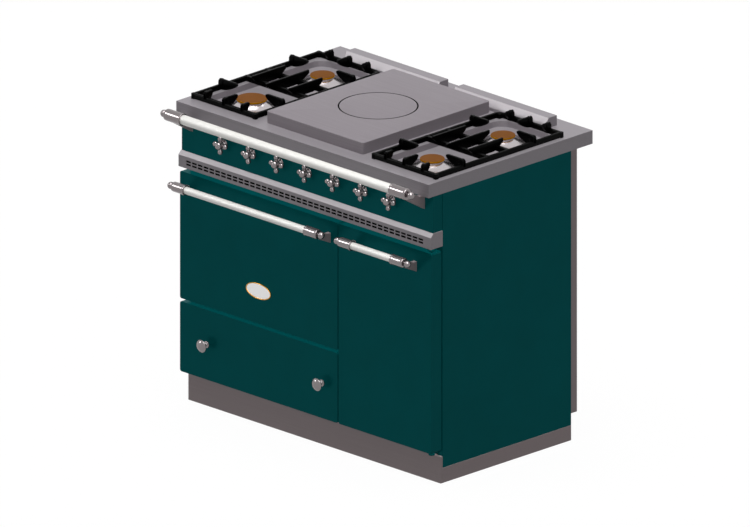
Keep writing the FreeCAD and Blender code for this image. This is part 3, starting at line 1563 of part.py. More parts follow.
def bar_fitting(name, place, measure, bracket_face):
    """A turned ferrule with an end ball, and the bracket that ties it to the front.

    place is the tip of the ball, the ferrule points to +X, and measure holds the
    sizes: ball, ring, ferrule and tube radii, length, bracket offset, width, low and
    high edges of its foot, and how far its top edge runs level before it rises.
    """
    ball_r, ring_r, ferrule_r, tube_r, length, offset, width, low, high, knee = measure
    tip_x, y, z = place
    ring = size.ring_width
    neck = ball_r / 2
    start = ball_r * 2
    socket = tube_r + size.socket_play
    mouth = length - size.socket_depth
    corners = [
        (0, 0, ball_r, 1),
        (ball_r, ball_r, ball_r, 1),
        (neck, start - neck / 4),
        (neck, start),
        (ring_r, start),
        (ring_r, start + ring),
        (ferrule_r, start + ring),
        (ferrule_r, length - ring),
        (ring_r, length - ring),
        (ring_r, length),
        (socket, length),
        (socket, mouth),
        (0, mouth),
    ]
    turned = lathe(name + "_ferrule", corners, place, "+X")
    top_y, top_z = (ferrule_r * share for share in BRACKET_TOP_SHARES)
    low_y, low_z = (ferrule_r * share for share in BRACKET_LOW_SHARES)
    outline = [
        (bracket_face, low),
        (bracket_face, high),
        (bracket_face - knee, high),
        (y + top_y, z + top_z),
        (y - low_y, z - low_z),
    ]
    left = tip_x + offset
    bracket = prism(name + "_bracket", "X", outline, (left, left + width))
    bore = rod(name + "_clear", "X", (y, z), (tip_x + mouth, tip_x + length), socket)
    return cut(name, fuse(name + "_joined", turned, bracket), bore)


def make_bar(prefix, ends, axis, measure, bracket_face):
    """A white tube between two chrome fittings: the right one mirrors the left one."""
    y, z = axis
    left = bar_fitting(prefix + "_fitting_left", (ends[0], y, z), measure, bracket_face)
    right = mirrored(prefix + "_fitting_right", left)
    bind_place(right, (ends[0] + ends[1], 0, 0))
    keep(prefix + "_fittings", group(prefix + "_fittings", left, right))
    tube_r = measure[3]
    inset = measure[4] - size.socket_depth
    span = grown(ends, -inset)
    tube = rod(prefix + "_solid", "X", axis, span, tube_r)
    bore = rod(prefix + "_bore", "X", axis, grown(span, size.overrun), size.tube_bore)
    keep(prefix + "_tube", cut(prefix + "_tube", tube, bore))


def make_bars():
    """The handrail and the two door handles."""
    measure = (
        size.rail_ball_radius,
        size.rail_ring_radius,
        size.rail_ferrule_radius,
        size.rail_radius,
        size.rail_fitting_length,
        size.rail_bracket_left - size.rail_end,
        size.rail_bracket_width,
        WORKTOP_TOP - size.rail_foot_low_drop,
        WORKTOP_TOP - size.rail_foot_high_drop,
        size.rail_knee,
    )
    ends = (along(size.rail_end), along(size.worktop_width - size.rail_end))
    axis = (back(-size.rail_reach), WORKTOP_TOP - size.rail_axis_drop)
    make_bar("handrail", ends, axis, measure, back(size.panel_front))
    measure = (
        size.handle_ball_radius,
        size.handle_ring_radius,
        size.handle_ferrule_radius,
        size.handle_radius,
        size.handle_fitting_length,
        size.handle_bracket_offset,
        size.handle_bracket_width,
        DOOR_TOP - size.handle_foot_low_drop,
        DOOR_TOP - size.handle_foot_high_drop,
        size.handle_knee,
    )
    axis = (back(-size.handle_reach), DOOR_TOP - size.handle_drop)
    face = back(size.door_front)
    ends = (along(size.oven_handle_end), along(DOOR_SPLIT - size.oven_handle_end))
    make_bar("oven_handle", ends, axis, measure, face)
    ends = grown((along(DOOR_SPLIT), along(size.worktop_width)), -size.cupboard_handle_end)
    make_bar("cupboard_handle", ends, axis, measure, face)


def oval(name, half_length, half_height, thickness):
    """An oval plate on the oven door's face."""
    ring = document.addObject("Part::Ellipse", name + "_line")
    bind(ring, "MajorRadius", half_length)
    bind(ring, "MinorRadius", half_height)
    middle = (OVEN_DOOR_ACROSS[0] + OVEN_DOOR_ACROSS[1]) / 2
    bind_place(ring, (middle, back(size.door_front), size.badge_height), TURN_TO["-Y"])
    plate = document.addObject("Part::Extrusion", name)
    plate.Base = ring
    plate.DirMode = "Custom"
    plate.Dir = FreeCAD.Vector(0, -1, 0)
    plate.Solid = True
    bind(plate, "LengthFwd", thickness)
    return plate


def make_badge():
    """A plain oval plate with a raised rim."""
    rim = size.badge_rim
    half = (size.badge_half_length, size.badge_half_height)
    border = oval("badge_border", half[0], half[1], size.badge_rim_thickness)
    middle = oval("badge_middle", half[0] - rim, half[1] - rim, size.badge_rim_thickness + size.overrun)
    plate = oval("badge_ground", half[0] - rim / 2, half[1] - rim / 2, size.badge_plate_thickness)
    keep("badge_plate", fuse("badge_plate", cut("badge_ring", border, middle), plate))


for make in (
    make_worktop,
    make_flue_hoods,
    make_side_panels,
    make_rear_panel,
    make_base,
    make_chassis_frame,
    make_oven_liner,
    make_oven_insulation,
    make_oven_burner,
    make_oven_furniture,
    make_oven_door,
    make_cupboard_door,
    make_hinge_brackets,
    make_cupboard_liner,
    make_drawer,
    make_drawer_rails,
    make_drawer_knobs,
    make_control_panel,
    make_vent_strip,
    make_gas_manifold,
    make_gas_taps,
    make_spindles_and_knobs,
    make_burners,
    make_simmer_plate,
    make_grates,
    make_bars,
    make_badge,
):
    make()
document.recompute()

# Nothing is written unless every object and every sub-part is sound
faults = [item.Name for item in document.Objects if {"Invalid", "Error"} & set(item.State)]
for node, thing in NODES.items():
    if thing.Shape.isNull() or not thing.Shape.isValid() or not thing.Shape.Solids:
        faults.append(node)
if faults:
    raise RuntimeError("unsound: " + ", ".join(faults))
os.makedirs("parts", exist_ok=True)
for node, thing in NODES.items():
    thing.Shape.exportStep(f"parts/{node}.step")
print(len(NODES), "sub-parts,", sum(len(thing.Shape.Solids) for thing in NODES.values()), "solids")
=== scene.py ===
# %% [markdown]
# A free-standing gas cooker, a metre wide. The frame holds every working piece at its real
# size. This lesson gives each piece its finish, and builds finer surfaces where the eye rests:
# turned chrome, porcelain, burners, cast grates, flue hoods and the badge.

# %% Load the frame
import math

import bmesh
import bpy
import numpy as np
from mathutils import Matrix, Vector


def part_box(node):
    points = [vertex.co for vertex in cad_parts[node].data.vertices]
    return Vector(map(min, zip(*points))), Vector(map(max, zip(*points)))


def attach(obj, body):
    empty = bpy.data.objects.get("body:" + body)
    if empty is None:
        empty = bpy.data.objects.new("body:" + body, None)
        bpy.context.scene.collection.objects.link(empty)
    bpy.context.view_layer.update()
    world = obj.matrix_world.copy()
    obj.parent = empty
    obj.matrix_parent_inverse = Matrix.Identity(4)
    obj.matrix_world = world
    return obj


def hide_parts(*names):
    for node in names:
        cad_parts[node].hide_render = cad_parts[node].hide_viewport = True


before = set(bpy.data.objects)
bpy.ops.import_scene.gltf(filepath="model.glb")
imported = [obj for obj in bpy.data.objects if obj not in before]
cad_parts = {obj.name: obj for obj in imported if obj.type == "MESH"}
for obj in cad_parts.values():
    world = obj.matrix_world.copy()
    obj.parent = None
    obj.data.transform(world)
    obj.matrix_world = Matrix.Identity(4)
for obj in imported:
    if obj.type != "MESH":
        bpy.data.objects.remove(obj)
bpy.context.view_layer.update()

# %% [markdown]
# Sizes are in millimetres, as on a maker's drawing, and become metres when a mesh is made.
# Places are read from the frame, so that each new surface sits where its piece sits.

# %% Sizes and places
MM = 0.001


def corners_of(node):
    """The lowest and highest corner of a frame node, in millimetres."""
    low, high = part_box(node)
    return np.array(low) / MM, np.array(high) / MM


HOB = corners_of("worktop")[1][2]

# %% [markdown]
# A shape here is a pair: an array of points and a list of faces. Every surface is a grid of
# points over two directions, so one function that joins neighbours by quads serves them all.

# %% Shapes from grids
def grid(points, round_rows=False, round_columns=False):
    """Quads between neighbouring points of a grid, which closes on itself where it is round."""
    rows, columns = points.shape[:2]
    index = np.arange(rows * columns).reshape(rows, columns)
    if round_rows:
        index = np.vstack([index, index[:1]])
    if round_columns:
        index = np.hstack([index, index[:, :1]])
    corners = [index[:-1, :-1], index[:-1, 1:], index[1:, 1:], index[1:, :-1]]
    return points.reshape(-1, 3), np.stack(corners, axis=-1).reshape(-1, 4).tolist()


def together(*shapes):
    """Several shapes as one, each with its faces counted on from the last."""
    points = np.vstack([shape[0] for shape in shapes])
    starts = np.cumsum([0] + [len(shape[0]) for shape in shapes])
    faces = []
    for shape, start in zip(shapes, starts):
        faces += [[corner + start for corner in face] for face in shape[1]]
    return points, faces


def moved(shape, place, turn=None):
    """A shape turned by a three by three matrix, then moved to its place."""
    points = shape[0] if turn is None else shape[0] @ turn.T
    return points + np.array(place), shape[1]


def mirrored_pair(shape, middle):
    """A shape and its mirror image beyond the upright plane X = middle."""
    points = shape[0] * (-1, 1, 1) + (2 * middle, 0, 0)
    return together(shape, (points, shape[1]))


# What a turned shape's own axis, +Z, becomes
TO_FRONT = np.array([[1, 0, 0], [0, 0, -1], [0, 1, 0]])
TO_RIGHT = np.array([[0, 0, 1], [0, 1, 0], [-1, 0, 0]])


def turned(profile, steps=64):
    """A profile (r, h) turned about Z: x = r cos a, y = r sin a, z = h, for a full turn of a."""
    angle = np.linspace(0, 2 * math.pi, steps, endpoint=False)
    radius, height = np.asarray(profile, float).T
    x = np.outer(radius, np.cos(angle))
    y = np.outer(radius, np.sin(angle))
    z = np.repeat(height[:, None], steps, axis=1)
    return grid(np.stack([x, y, z], axis=-1), round_columns=True)


# %% [markdown]
# Outlines are drawn as a draughtsman draws them: corner points, each with the radius that
# rounds it as its third number. The arc of a corner touches both of its sides, so its centre
# lies on the line that halves the corner, radius / sin(half angle) away from the point.

# %% Rounded outlines
ARC_STEPS = 6


def rounded(corners, closed=True, steps=ARC_STEPS):
    """An outline through corners (x, y, radius), each rounded by an arc tangent to both sides."""
    count = len(corners)
    pieces = []
    for index, corner in enumerate(corners):
        here = np.array(corner[:2], float)
        radius = corner[2] if len(corner) > 2 else 0
        if radius == 0 or (not closed and index in (0, count - 1)):
            pieces.append(here[None])
            continue
        before = np.array(corners[index - 1][:2], float) - here
        after = np.array(corners[(index + 1) % count][:2], float) - here
        before /= np.linalg.norm(before)
        after /= np.linalg.norm(after)
        half = math.acos(np.clip(before @ after, -1, 1)) / 2
        halving = (before + after) / np.linalg.norm(before + after)
        centre = here + halving * radius / math.sin(half)
        start = here + before * radius / math.tan(half) - centre
        end = here + after * radius / math.tan(half) - centre
        first = math.atan2(start[1], start[0])
        sweep = (math.atan2(end[1], end[0]) - first + math.pi) % (2 * math.pi) - math.pi
        angle = first + sweep * np.linspace(0, 1, steps + 1)
        pieces.append(centre + radius * np.stack([np.cos(angle), np.sin(angle)], axis=-1))
    return np.vstack(pieces)


def divided(path, longest):
    """A closed path with extra points, so that none is further than the longest step from the next."""
    pieces = []
    for here, there in zip(path, np.roll(path, -1, axis=0)):
        count = max(1, math.ceil(np.linalg.norm(there - here) / longest))
        share = np.arange(count)[:, None] / count
        pieces.append(here + (there - here) * share)
    return np.vstack(pieces)


def rectangle(low, high, radius, inset=0):
    """A rectangle with rounded corners, drawn in by an inset, always with the same points."""
    bend = radius - inset
    x0, y0 = low[0] + inset, low[1] + inset
    x1, y1 = high[0] - inset, high[1] - inset
    return rounded([(x0, y0, bend), (x1, y0, bend), (x1, y1, bend), (x0, y1, bend)])


def level_line(path, level):
    """An outline in X and Y as points at one height."""
    return np.column_stack([path, np.full(len(path), level)])


def capped(lines):
    """Closed lines of points joined one to the next, with a flat face at each end."""
    shape = grid(np.stack(lines), round_columns=True)
    count = len(lines[0])
    last = len(shape[0]) - count
    shape[1].append(list(range(count))[::-1])
    shape[1].append(list(range(last, last + count)))
    return shape


def stacked(rows):
    """Rows of (outline, level) joined one above the other."""
    return capped([level_line(path, level) for path, level in rows])


def carried(outline, span):
    """An outline in Y and Z carried straight along X between two places."""
    return capped([np.column_stack([np.full(len(outline), x), outline]) for x in span])


# %% [markdown]
# Each finished piece is one mesh at the origin. Doubled points are merged, faces are turned
# outwards, and edges sharper than a set angle stay crisp while the rest is shaded smooth. A
# bevel gives folded steel a thin line of light along its edges.

# %% Pieces from shapes
MERGE = 0.004
SHARP_ANGLE = math.radians(32)
EDGE_ANGLE = math.radians(30)
EDGE_STEPS = 2


def soften(thing, width):
    """A live bevel on the sharp edges of a piece, as wide as a real broken edge."""
    bevel = thing.modifiers.new("broken_edge", "BEVEL")
    bevel.width = width * MM
    bevel.segments = EDGE_STEPS
    bevel.limit_method = "ANGLE"
    bevel.angle_limit = EDGE_ANGLE
    bevel.harden_normals = True


def piece(name, shape, body, finishes, stands_for, edge=0):
    """A shape made into a mesh that rides on a body, stands for frame nodes and has finishes."""
    points, faces = shape
    mesh = bpy.data.meshes.new(name)
    mesh.from_pydata((points * MM).tolist(), [], faces)
    work = bmesh.new()
    work.from_mesh(mesh)
    bmesh.ops.remove_doubles(work, verts=work.verts, dist=MERGE * MM)
    bmesh.ops.dissolve_degenerate(work, edges=work.edges, dist=MERGE * MM)
    bmesh.ops.recalc_face_normals(work, faces=work.faces)
    if work.calc_volume(signed=True) < 0:
        bmesh.ops.reverse_faces(work, faces=work.faces)
    work.to_mesh(mesh)
    work.free()
    mesh.shade_smooth()
    mesh.set_sharp_from_angle(angle=SHARP_ANGLE)
    for finish in finishes:
        mesh.materials.append(finish)
    thing = bpy.data.objects.new(name, mesh)
    bpy.context.scene.collection.objects.link(thing)
    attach(thing, body)
    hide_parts(*stands_for)
    if edge:
        soften(thing, edge)
    print(name, len(mesh.polygons), "faces")
    return thing


def per_face(thing, what):
    """The normal or the center of each face of a piece, as one row for each face."""
    return np.array([getattr(face, what) for face in thing.data.polygons])


def give_finish(thing, number, chosen):
    """Give the chosen faces of a piece one of its finishes, counted from nought."""
    for index in np.flatnonzero(chosen).tolist():
        thing.data.polygons[index].material_index = number


# %% [markdown]
# Colours are written as they look on a screen and turned to linear light by one function.
# A material is one Principled shader, and one small function adds every other node to it.

# %% Colours and nodes
NOISE = "ShaderNodeTexNoise"
CELLS = "ShaderNodeTexVoronoi"


def linear(hex_colour):
    """An sRGB hex colour as linear red, green, blue and full alpha."""
    values = np.array([int(hex_colour[i : i + 2], 16) for i in (1, 3, 5)]) / 255
    low = values / 12.92
    high = ((values + 0.055) / 1.055) ** 2.4
    return (*np.where(values <= 0.04045, low, high), 1.0)


def add(tree, kind, settings=None, links=None):
    """Add a node, set its properties or inputs, and link other nodes' sockets to its inputs."""
    made = tree.nodes.new(kind)
    for key, value in (settings or {}).items():
        if isinstance(key, str) and hasattr(made, key):
            setattr(made, key, value)
        else:
            made.inputs[key].default_value = value
    for key, socket in (links or {}).items():
        tree.links.new(socket, made.inputs[key])
    return made


def material(name, colour, metallic, roughness, gloss=0.5):
    """A new material with one Principled shader; returns it, its tree and its shader."""
    made = bpy.data.materials.new(name)
    made.use_nodes = True
    tree = made.node_tree
    shader = tree.nodes["Principled BSDF"]
    shader.inputs["Base Color"].default_value = linear(colour)
    for key, value in zip(("Metallic", "Roughness", "Specular IOR Level"), (metallic, roughness, gloss)):
        shader.inputs[key].default_value = value
    return made, tree, shader


def per_metre(size):
    """How many times a pattern of this size in millimetres repeats in a metre."""
    return 1 / (size * MM)


def pattern(tree, kind, size, **settings):
    """Noise or cells of a size in millimetres, laid by the piece's own coordinates."""
    place = add(tree, "ShaderNodeTexCoord")
    return add(tree, kind, {"Scale": per_metre(size), **settings}, {"Vector": place.outputs["Object"]})


def shaded(tree, shader, factor, dark, light):
    """Let a pattern move the base colour between a darker and a lighter shade."""
    ends = {"data_type": "RGBA", 6: linear(dark), 7: linear(light)}
    mix = add(tree, "ShaderNodeMix", ends, {"Factor": factor})
    tree.links.new(mix.outputs[2], shader.inputs["Base Color"])


def embossed(tree, shader, height, depth):
    """Let a pattern raise the surface by a depth in millimetres."""
    bump = add(tree, "ShaderNodeBump", {"Strength": 1.0, "Distance": depth * MM}, {"Height": height})
    tree.links.new(bump.outputs["Normal"], shader.inputs["Normal"])


def grained(tree, shader, noise, dark, light, depth):
    """Let one noise move both the colour and the height."""
    shaded(tree, shader, noise.outputs["Fac"], dark, light)
    embossed(tree, shader, noise.outputs["Fac"], depth)


# %% [markdown]
# The hob is brushed stainless steel. Brushing leaves fine parallel scratches, so the pattern is
# noise drawn out along the brushing direction. Real scratches are a tenth of a millimetre apart,
# too fine to show, so they are drawn 3 mm apart and faint.

# %% Brushed stainless steel
BRUSH_LENGTH = 220
BRUSH_SPACING = 3
BRUSH_DEPTH = 0.01


def brushed(name, dark, light, metallic, roughness, gloss):
    """Steel with faint parallel brush marks along X."""
    made, tree, shader = material(name, light, metallic, roughness, gloss)
    place = add(tree, "ShaderNodeTexCoord")
    scale = (per_metre(BRUSH_LENGTH), per_metre(BRUSH_SPACING), per_metre(BRUSH_SPACING))
    stretch = add(tree, "ShaderNodeMapping", {"Scale": scale}, {"Vector": place.outputs["Object"]})
    look = {"Scale": 1.0, "Detail": 3.0, "Roughness": 0.6}
    marks = add(tree, NOISE, look, {"Vector": stretch.outputs["Vector"]})
    grained(tree, shader, marks, dark, light, BRUSH_DEPTH)
    return made


steel = brushed("brushed_stainless_steel", "#8f8a8f", "#9c979c", 0.16, 0.36, 0.06)
# The same steel in a lighter shade for the sloping faces of the hoods and the vent strip: a painted
# highlight.
slope_painted_highlight_steel = brushed("steel_slope_painted_highlight", "#b0abaf", "#bdb8bc", 0.16, 0.36, 0.06)
grey_paint = brushed("satin_grey_steel", "#93888a", "#9c9192", 0.1, 0.5, 0.05)

# %% [markdown]
# The doors and panels are vitreous enamel: glass fused on steel at 800 degrees. The glass levels
# itself almost flat, and a faint orange peel about 4 mm across stays in it. Its colour is deep,
# and a plain gloss would grey it in this pale room. So a small metallic share gives the gloss,
# because a metal's reflections take its own colour: edges glint in teal. The frame behind the
# doors has the same enamel in black, so that the gaps between the doors are dark lines.

# %% Teal vitreous enamel
PEEL = 4
PEEL_DEPTH = 0.02
MOTTLE = 90


def enamel(name, dark, light, metallic, roughness, gloss):
    """Fused glass: a gentle orange peel, faint clouds, and a gloss in its own colour."""
    made, tree, shader = material(name, light, metallic, roughness, gloss)
    cloud = pattern(tree, NOISE, MOTTLE, Detail=2.0)
    peel = pattern(tree, NOISE, PEEL, Detail=1.0)
    shaded(tree, shader, cloud.outputs["Fac"], dark, light)
    embossed(tree, shader, peel.outputs["Fac"], PEEL_DEPTH)
    return made


teal = enamel("teal_vitreous_enamel", "#005355", "#00595c", 0.12, 0.24, 0.01)
# The frame's black is its own enamel and also painted shade: it keeps the gaps between the doors dark where
# the shadowless fill would light them.
frame_enamel_and_gap_shade = enamel("black_frame_enamel_gap_shade", "#090e0f", "#0f1516", 0.0, 0.4, 0.2)

# %% [markdown]
# Inside the oven the enamel is near black with a fine pale speckle, which hides soot. The
# specks are cells of a Voronoi pattern whose centres lie close by, some 5 mm apart.

# %% Speckled oven enamel
OVEN_BLACK = "#1b1b1e"
SPECK_GREY = "#8b8b90"
SPECK_SPACING = 5
SPECK_SHARE = 0.16
SPECK_DEPTH = 0.02
oven_enamel, tree, shader = material("speckled_oven_enamel", OVEN_BLACK, 0.0, 0.3, 0.4)
near = pattern(tree, CELLS, SPECK_SPACING).outputs["Distance"]
spot = add(tree, "ShaderNodeMath", {"operation": "LESS_THAN", 1: SPECK_SHARE}, {0: near})
shaded(tree, shader, spot.outputs[0], OVEN_BLACK, SPECK_GREY)
embossed(tree, shader, near, SPECK_DEPTH)

# %% [markdown]
# Cast iron is rough from its sand mould. On the grates it is covered in black enamel, so the
# grain shows only as a broken gloss. The simmer plate is ground flat: grey, with the faint long
# marks of the grinding wheel.

# %% Cast iron
SAND_GRAIN = 1.6


def cast(name, dark, light, roughness, gloss, depth):
    """A casting: sand grain in its height and a little in its colour."""
    made, tree, shader = material(name, light, 0.0, roughness, gloss)
    grain = pattern(tree, NOISE, SAND_GRAIN, Detail=4.0, Roughness=0.7)
    grained(tree, shader, grain, dark, light, depth)
    return made


black_iron = cast("black_enamelled_iron", "#000000", "#030303", 0.26, 0.035, 0.05)
# Near black without gloss, used only as painted shade: in the groove round the disc, on the slot walls and
# on the sheet behind the slots.
painted_shade_black = cast("black_painted_shade", "#020202", "#080808", 0.8, 0.0, 0.02)
plate_iron = brushed("ground_cast_plate", "#867f85", "#948e93", 0.1, 0.42, 0.04)

# %% [markdown]
# Turned and polished metals: chrome on the fittings and knobs, aluminium at the burners, bronze
# for the caps and brass for the taps. A lathe or polishing wheel leaves rings too fine to see,
# which only soften the reflection, so their pattern acts on roughness.

# %% Polished metals
WHEEL_MARK = 2.5


def polished(name, colour, roughness, spread, metallic=1.0, gloss=0.5):
    """A bright metal whose polish varies a little from place to place."""
    made, tree, shader = material(name, colour, metallic, roughness, gloss)
    wheel = pattern(tree, NOISE, WHEEL_MARK, Detail=3.0)
    ends = {"To Min": roughness - spread, "To Max": roughness + spread}
    polish = add(tree, "ShaderNodeMapRange", ends, {"Value": wheel.outputs["Fac"]})
    tree.links.new(polish.outputs["Result"], shader.inputs["Roughness"])
    return made


chrome = polished("polished_chrome", "#817b7c", 0.18, 0.03, 0.85)
bracket_steel = polished("satin_bracket_steel", "#93888a", 0.45, 0.05, 0.15, 0.05)
burner_aluminium = polished("polished_aluminium", "#b9b3b5", 0.2, 0.05)
head_aluminium = polished("cast_aluminium_head", "#a39c9e", 0.42, 0.06)
bronze = polished("satin_bronze_cap", "#774b24", 0.5, 0.06, 0.05, 0.01)
# An amber copy of the bronze for the cap's side faces: painted light on the side, not a second metal.
bronze_side_painted_light = polished("bronze_cap_side_painted_light", "#a87000", 0.42, 0.06, 0.05, 0.01)
brass = polished("turned_brass", "#b48c46", 0.3, 0.08)
plain_steel = polished("drawn_steel", "#8f8f92", 0.35, 0.08)
gold_rim = polished("gilded_rim", "#c08a3c", 0.25, 0.05)
badge_silver = polished("silvered_badge", "#eae9e8", 0.3, 0.03, 0.72)

# %% [markdown]
# The handle tubes are porcelain: white clay under a lead glaze. The glaze is dense glass, which
# gives a strong gloss, and lies on the clay in a slight wave. Light that enters it comes out all
# round the tube, so a share of mirror keeps the side in shade nearly as white as the top.

# %% White glaze
GLAZE_WAVE = 14
GLAZE_DEPTH = 0.006
GLAZE_MIRROR_SHARE = 0.5
GLAZE_ROUGHNESS = 0.6
GLAZE_WHITES = ("#cbcac6", "#d2d1ce")
porcelain, tree, shader = material("glazed_porcelain", GLAZE_WHITES[1], GLAZE_MIRROR_SHARE, GLAZE_ROUGHNESS)
for key, value in {"Coat Weight": 0.6, "Coat IOR": 1.7, "Coat Roughness": 0.45}.items():
    shader.inputs[key].default_value = value
grained(tree, shader, pattern(tree, NOISE, GLAZE_WAVE, Detail=1.0), *GLAZE_WHITES, GLAZE_DEPTH)

# %% [markdown]
# Behind the doors: galvanised steel with its zinc crystals, each a cell some 9 mm wide with its
# own grey, mineral wool, and the braided glass rope that seals the oven.

# %% Hidden finishes
SPANGLE = 9
ZINC_GREYS = ("#7d8185", "#a2a6a9")
FIBRE = 1.5
FIBRE_DEPTH = 0.6
BRAID = 3
BRAID_DEPTH = 0.4
zinc, tree, shader = material("galvanised_steel", ZINC_GREYS[1], 0.6, 0.42)
crystals = pattern(tree, CELLS, SPANGLE)
grey = add(tree, "ShaderNodeSeparateColor", None, {"Color": crystals.outputs["Color"]})
shaded(tree, shader, grey.outputs["Red"], *ZINC_GREYS)


def fibrous(name, dark, light, size, depth):
    """Wool or rope: matt, with fibres in its height."""
    made, tree, shader = material(name, light, 0.0, 0.95, 0.1)
    fibre = pattern(tree, NOISE, size, Detail=6.0, Roughness=0.8, Distortion=1.5)
    grained(tree, shader, fibre, dark, light, depth)
    return made


wool = fibrous("mineral_wool", "#a8935c", "#cdb983", FIBRE, FIBRE_DEPTH)
rope = fibrous("glass_rope", "#2a2a2b", "#4d4d4f", BRAID, BRAID_DEPTH)

# %% [markdown]
# Folded sheet and hidden pieces have the right shape in the frame, so they stay and take a
# finish. Live modifiers weld and bevel those that show from outside.

# %% Frame nodes that stay
WORKTOP_EDGE = 1.0
FOLD_EDGE = 0.8
REAR_EDGE = 0.5
DOORS = ("oven_door_panel", "cupboard_door_panel", "drawer_front")
STAY = (
    (steel, WORKTOP_EDGE, ("worktop",)),
    (teal, FOLD_EDGE, ("side_panel_left", "side_panel_right", "control_panel", *DOORS)),
    (teal, 0, ("door_hinge_brackets",)),
    (grey_paint, REAR_EDGE, ("rear_panel",)),
    (grey_paint, FOLD_EDGE, ("base_rails", "front_plinth")),
    (frame_enamel_and_gap_shade, 0, ("chassis_frame",)),
    (oven_enamel, 0, ("oven_liner", "oven_door_inner")),
    (wool, 0, ("oven_insulation",)),
    (zinc, 0, ("cupboard_liner", "cupboard_door_inner", "drawer_rails", "drawer_box")),
    (plain_steel, 0, ("oven_burner", "oven_furniture", "oven_hinge_arms")),
    (plain_steel, 0, ("gas_manifold", "simmer_burner")),
    (plain_steel, 0, [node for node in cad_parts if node.startswith("tap_spindle")]),
    (brass, 0, ("gas_taps",)),
)
for finish, edge, nodes in STAY:
    for node in nodes:
        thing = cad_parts[node]
        thing.data.materials.clear()
        thing.data.materials.append(finish)
        if edge:
            weld = thing.modifiers.new("weld", "WELD")
            weld.merge_threshold = MERGE * MM
            soften(thing, edge)

# %% [markdown]
# A burner is a cast head with a ring of flame ports, a polished skirt that fills the hole in
# the bowl, and a bronze cap. The skirt rises in a hollow curve from its rim to the head's
# neck. Ports are notches: the head's radius dips once for each of them near its crown. The
# skirt's rim and lip are points counted from its foot and from the top of its neck.

# %% Burners
BURNERS = ("front_left", "rear_left", "front_right", "rear_right")
BOWL_DEPTH = 18
FLOOR = HOB - BOWL_DEPTH
CAP_THICKNESS = 6
CAP_PROUD = 6
CAP_UNDER = HOB + CAP_PROUD - CAP_THICKNESS - FLOOR
CAP_TAPER = 0.4
CAP_FALL = 0.5
CAP_RIM_SLOPE = 0.6
PORT_COUNT = 28
PORT_STEPS = 8
PORT_DEPTH = 2.2
PORT_HEIGHT = 3.6
PORT_SILL = 0.6
PORT_DROP = 0.2
PORT_REACH = 1
JET_BORE = 3
NECK_INSET = 6
CROWN_INSET = 3
CROWN_SWELL = 2.4
CROWN_BREAK = 0.4
CROWN_WALL = 12
FLANGE_REACH = 4
FLANGE_THICKNESS = 2
SKIRT_RADIUS = 65
SKIRT_RISE = 13.5
SKIRT_SHEET = 2
SKIRT_NECK_INSET = 5.6
SKIRT_RIM = ((-1.5, 0), (0, 0.4), (0, 1.6))
SKIRT_LIP = ((0.6, 0), (0, -1.2), (0, -10.5))


def burner_head(cap_radius):
    """Flange, neck and crown, whose radius dips by a smooth notch at every flame port."""
    neck = cap_radius - NECK_INSET
    crown = cap_radius - CROWN_INSET
    flange = cap_radius + FLANGE_REACH
    crown_foot = CAP_UNDER - PORT_HEIGHT - PORT_SILL
    foot = [
        (JET_BORE, 0),
        (flange, 0, 0.5),
        (flange, FLANGE_THICKNESS, 0.8),
        (neck, FLANGE_THICKNESS, 1.5),
        (neck, crown_foot - CROWN_SWELL, 1.2),
        (crown, crown_foot),
    ]
    wall = [(crown, level) for level in np.linspace(crown_foot, CAP_UNDER - CROWN_BREAK, 8)[1:]]
    cup = [
        (crown - CROWN_BREAK, CAP_UNDER),
        (crown - CROWN_WALL, CAP_UNDER),
        (crown - CROWN_WALL, FLANGE_THICKNESS),
        (JET_BORE, FLANGE_THICKNESS),
    ]
    profile = np.vstack([rounded(foot, closed=False, steps=4), wall, cup])
    points, faces = turned(profile, steps=PORT_COUNT * PORT_STEPS)
    radius = np.hypot(points[:, 0], points[:, 1])
    angle = np.arctan2(points[:, 1], points[:, 0])
    middle = CAP_UNDER - PORT_HEIGHT / 2 - PORT_DROP
    near = np.clip(1 - np.abs(points[:, 2] - middle) / (PORT_HEIGHT / 2), 0, 1)
    beat = np.clip(np.cos(angle * PORT_COUNT) * 2 - 1, 0, 1)
    dip = PORT_DEPTH * np.sqrt(near) * beat * (radius > crown - PORT_REACH)
    shrink = 1 - dip / radius
    return points * np.column_stack([shrink, shrink, np.ones(len(points))]), faces


def burner_skirt(cap_radius):
    """Rim, then a hollow curve: height share = 0.35 t + 0.65 t to the power 2.2, inwards by t."""
    neck = cap_radius - SKIRT_NECK_INSET
    way = np.linspace(0, 1, 22)
    outer = SKIRT_RADIUS - (SKIRT_RADIUS - neck - SKIRT_SHEET) * way
    rise = SKIRT_SHEET + (SKIRT_RISE - SKIRT_SHEET) * (0.35 * way + 0.65 * way**2.2)
    rim = np.array(SKIRT_RIM) + (SKIRT_RADIUS, 0)
    lip = np.array(SKIRT_LIP) + (neck, SKIRT_RISE)
    return turned(np.vstack([rim, np.column_stack([outer, rise]), lip]), steps=96)


def burner_cap(cap_radius):
    """A flat disc whose upper edge is well rounded."""
    profile = [
        (0, CAP_UNDER),
        (cap_radius - CAP_TAPER, CAP_UNDER, 0.8),
        (cap_radius, CAP_UNDER + CAP_THICKNESS - CAP_FALL, 2.2),
        (0, CAP_UNDER + CAP_THICKNESS),
    ]
    return turned(rounded(profile, closed=False), steps=96)


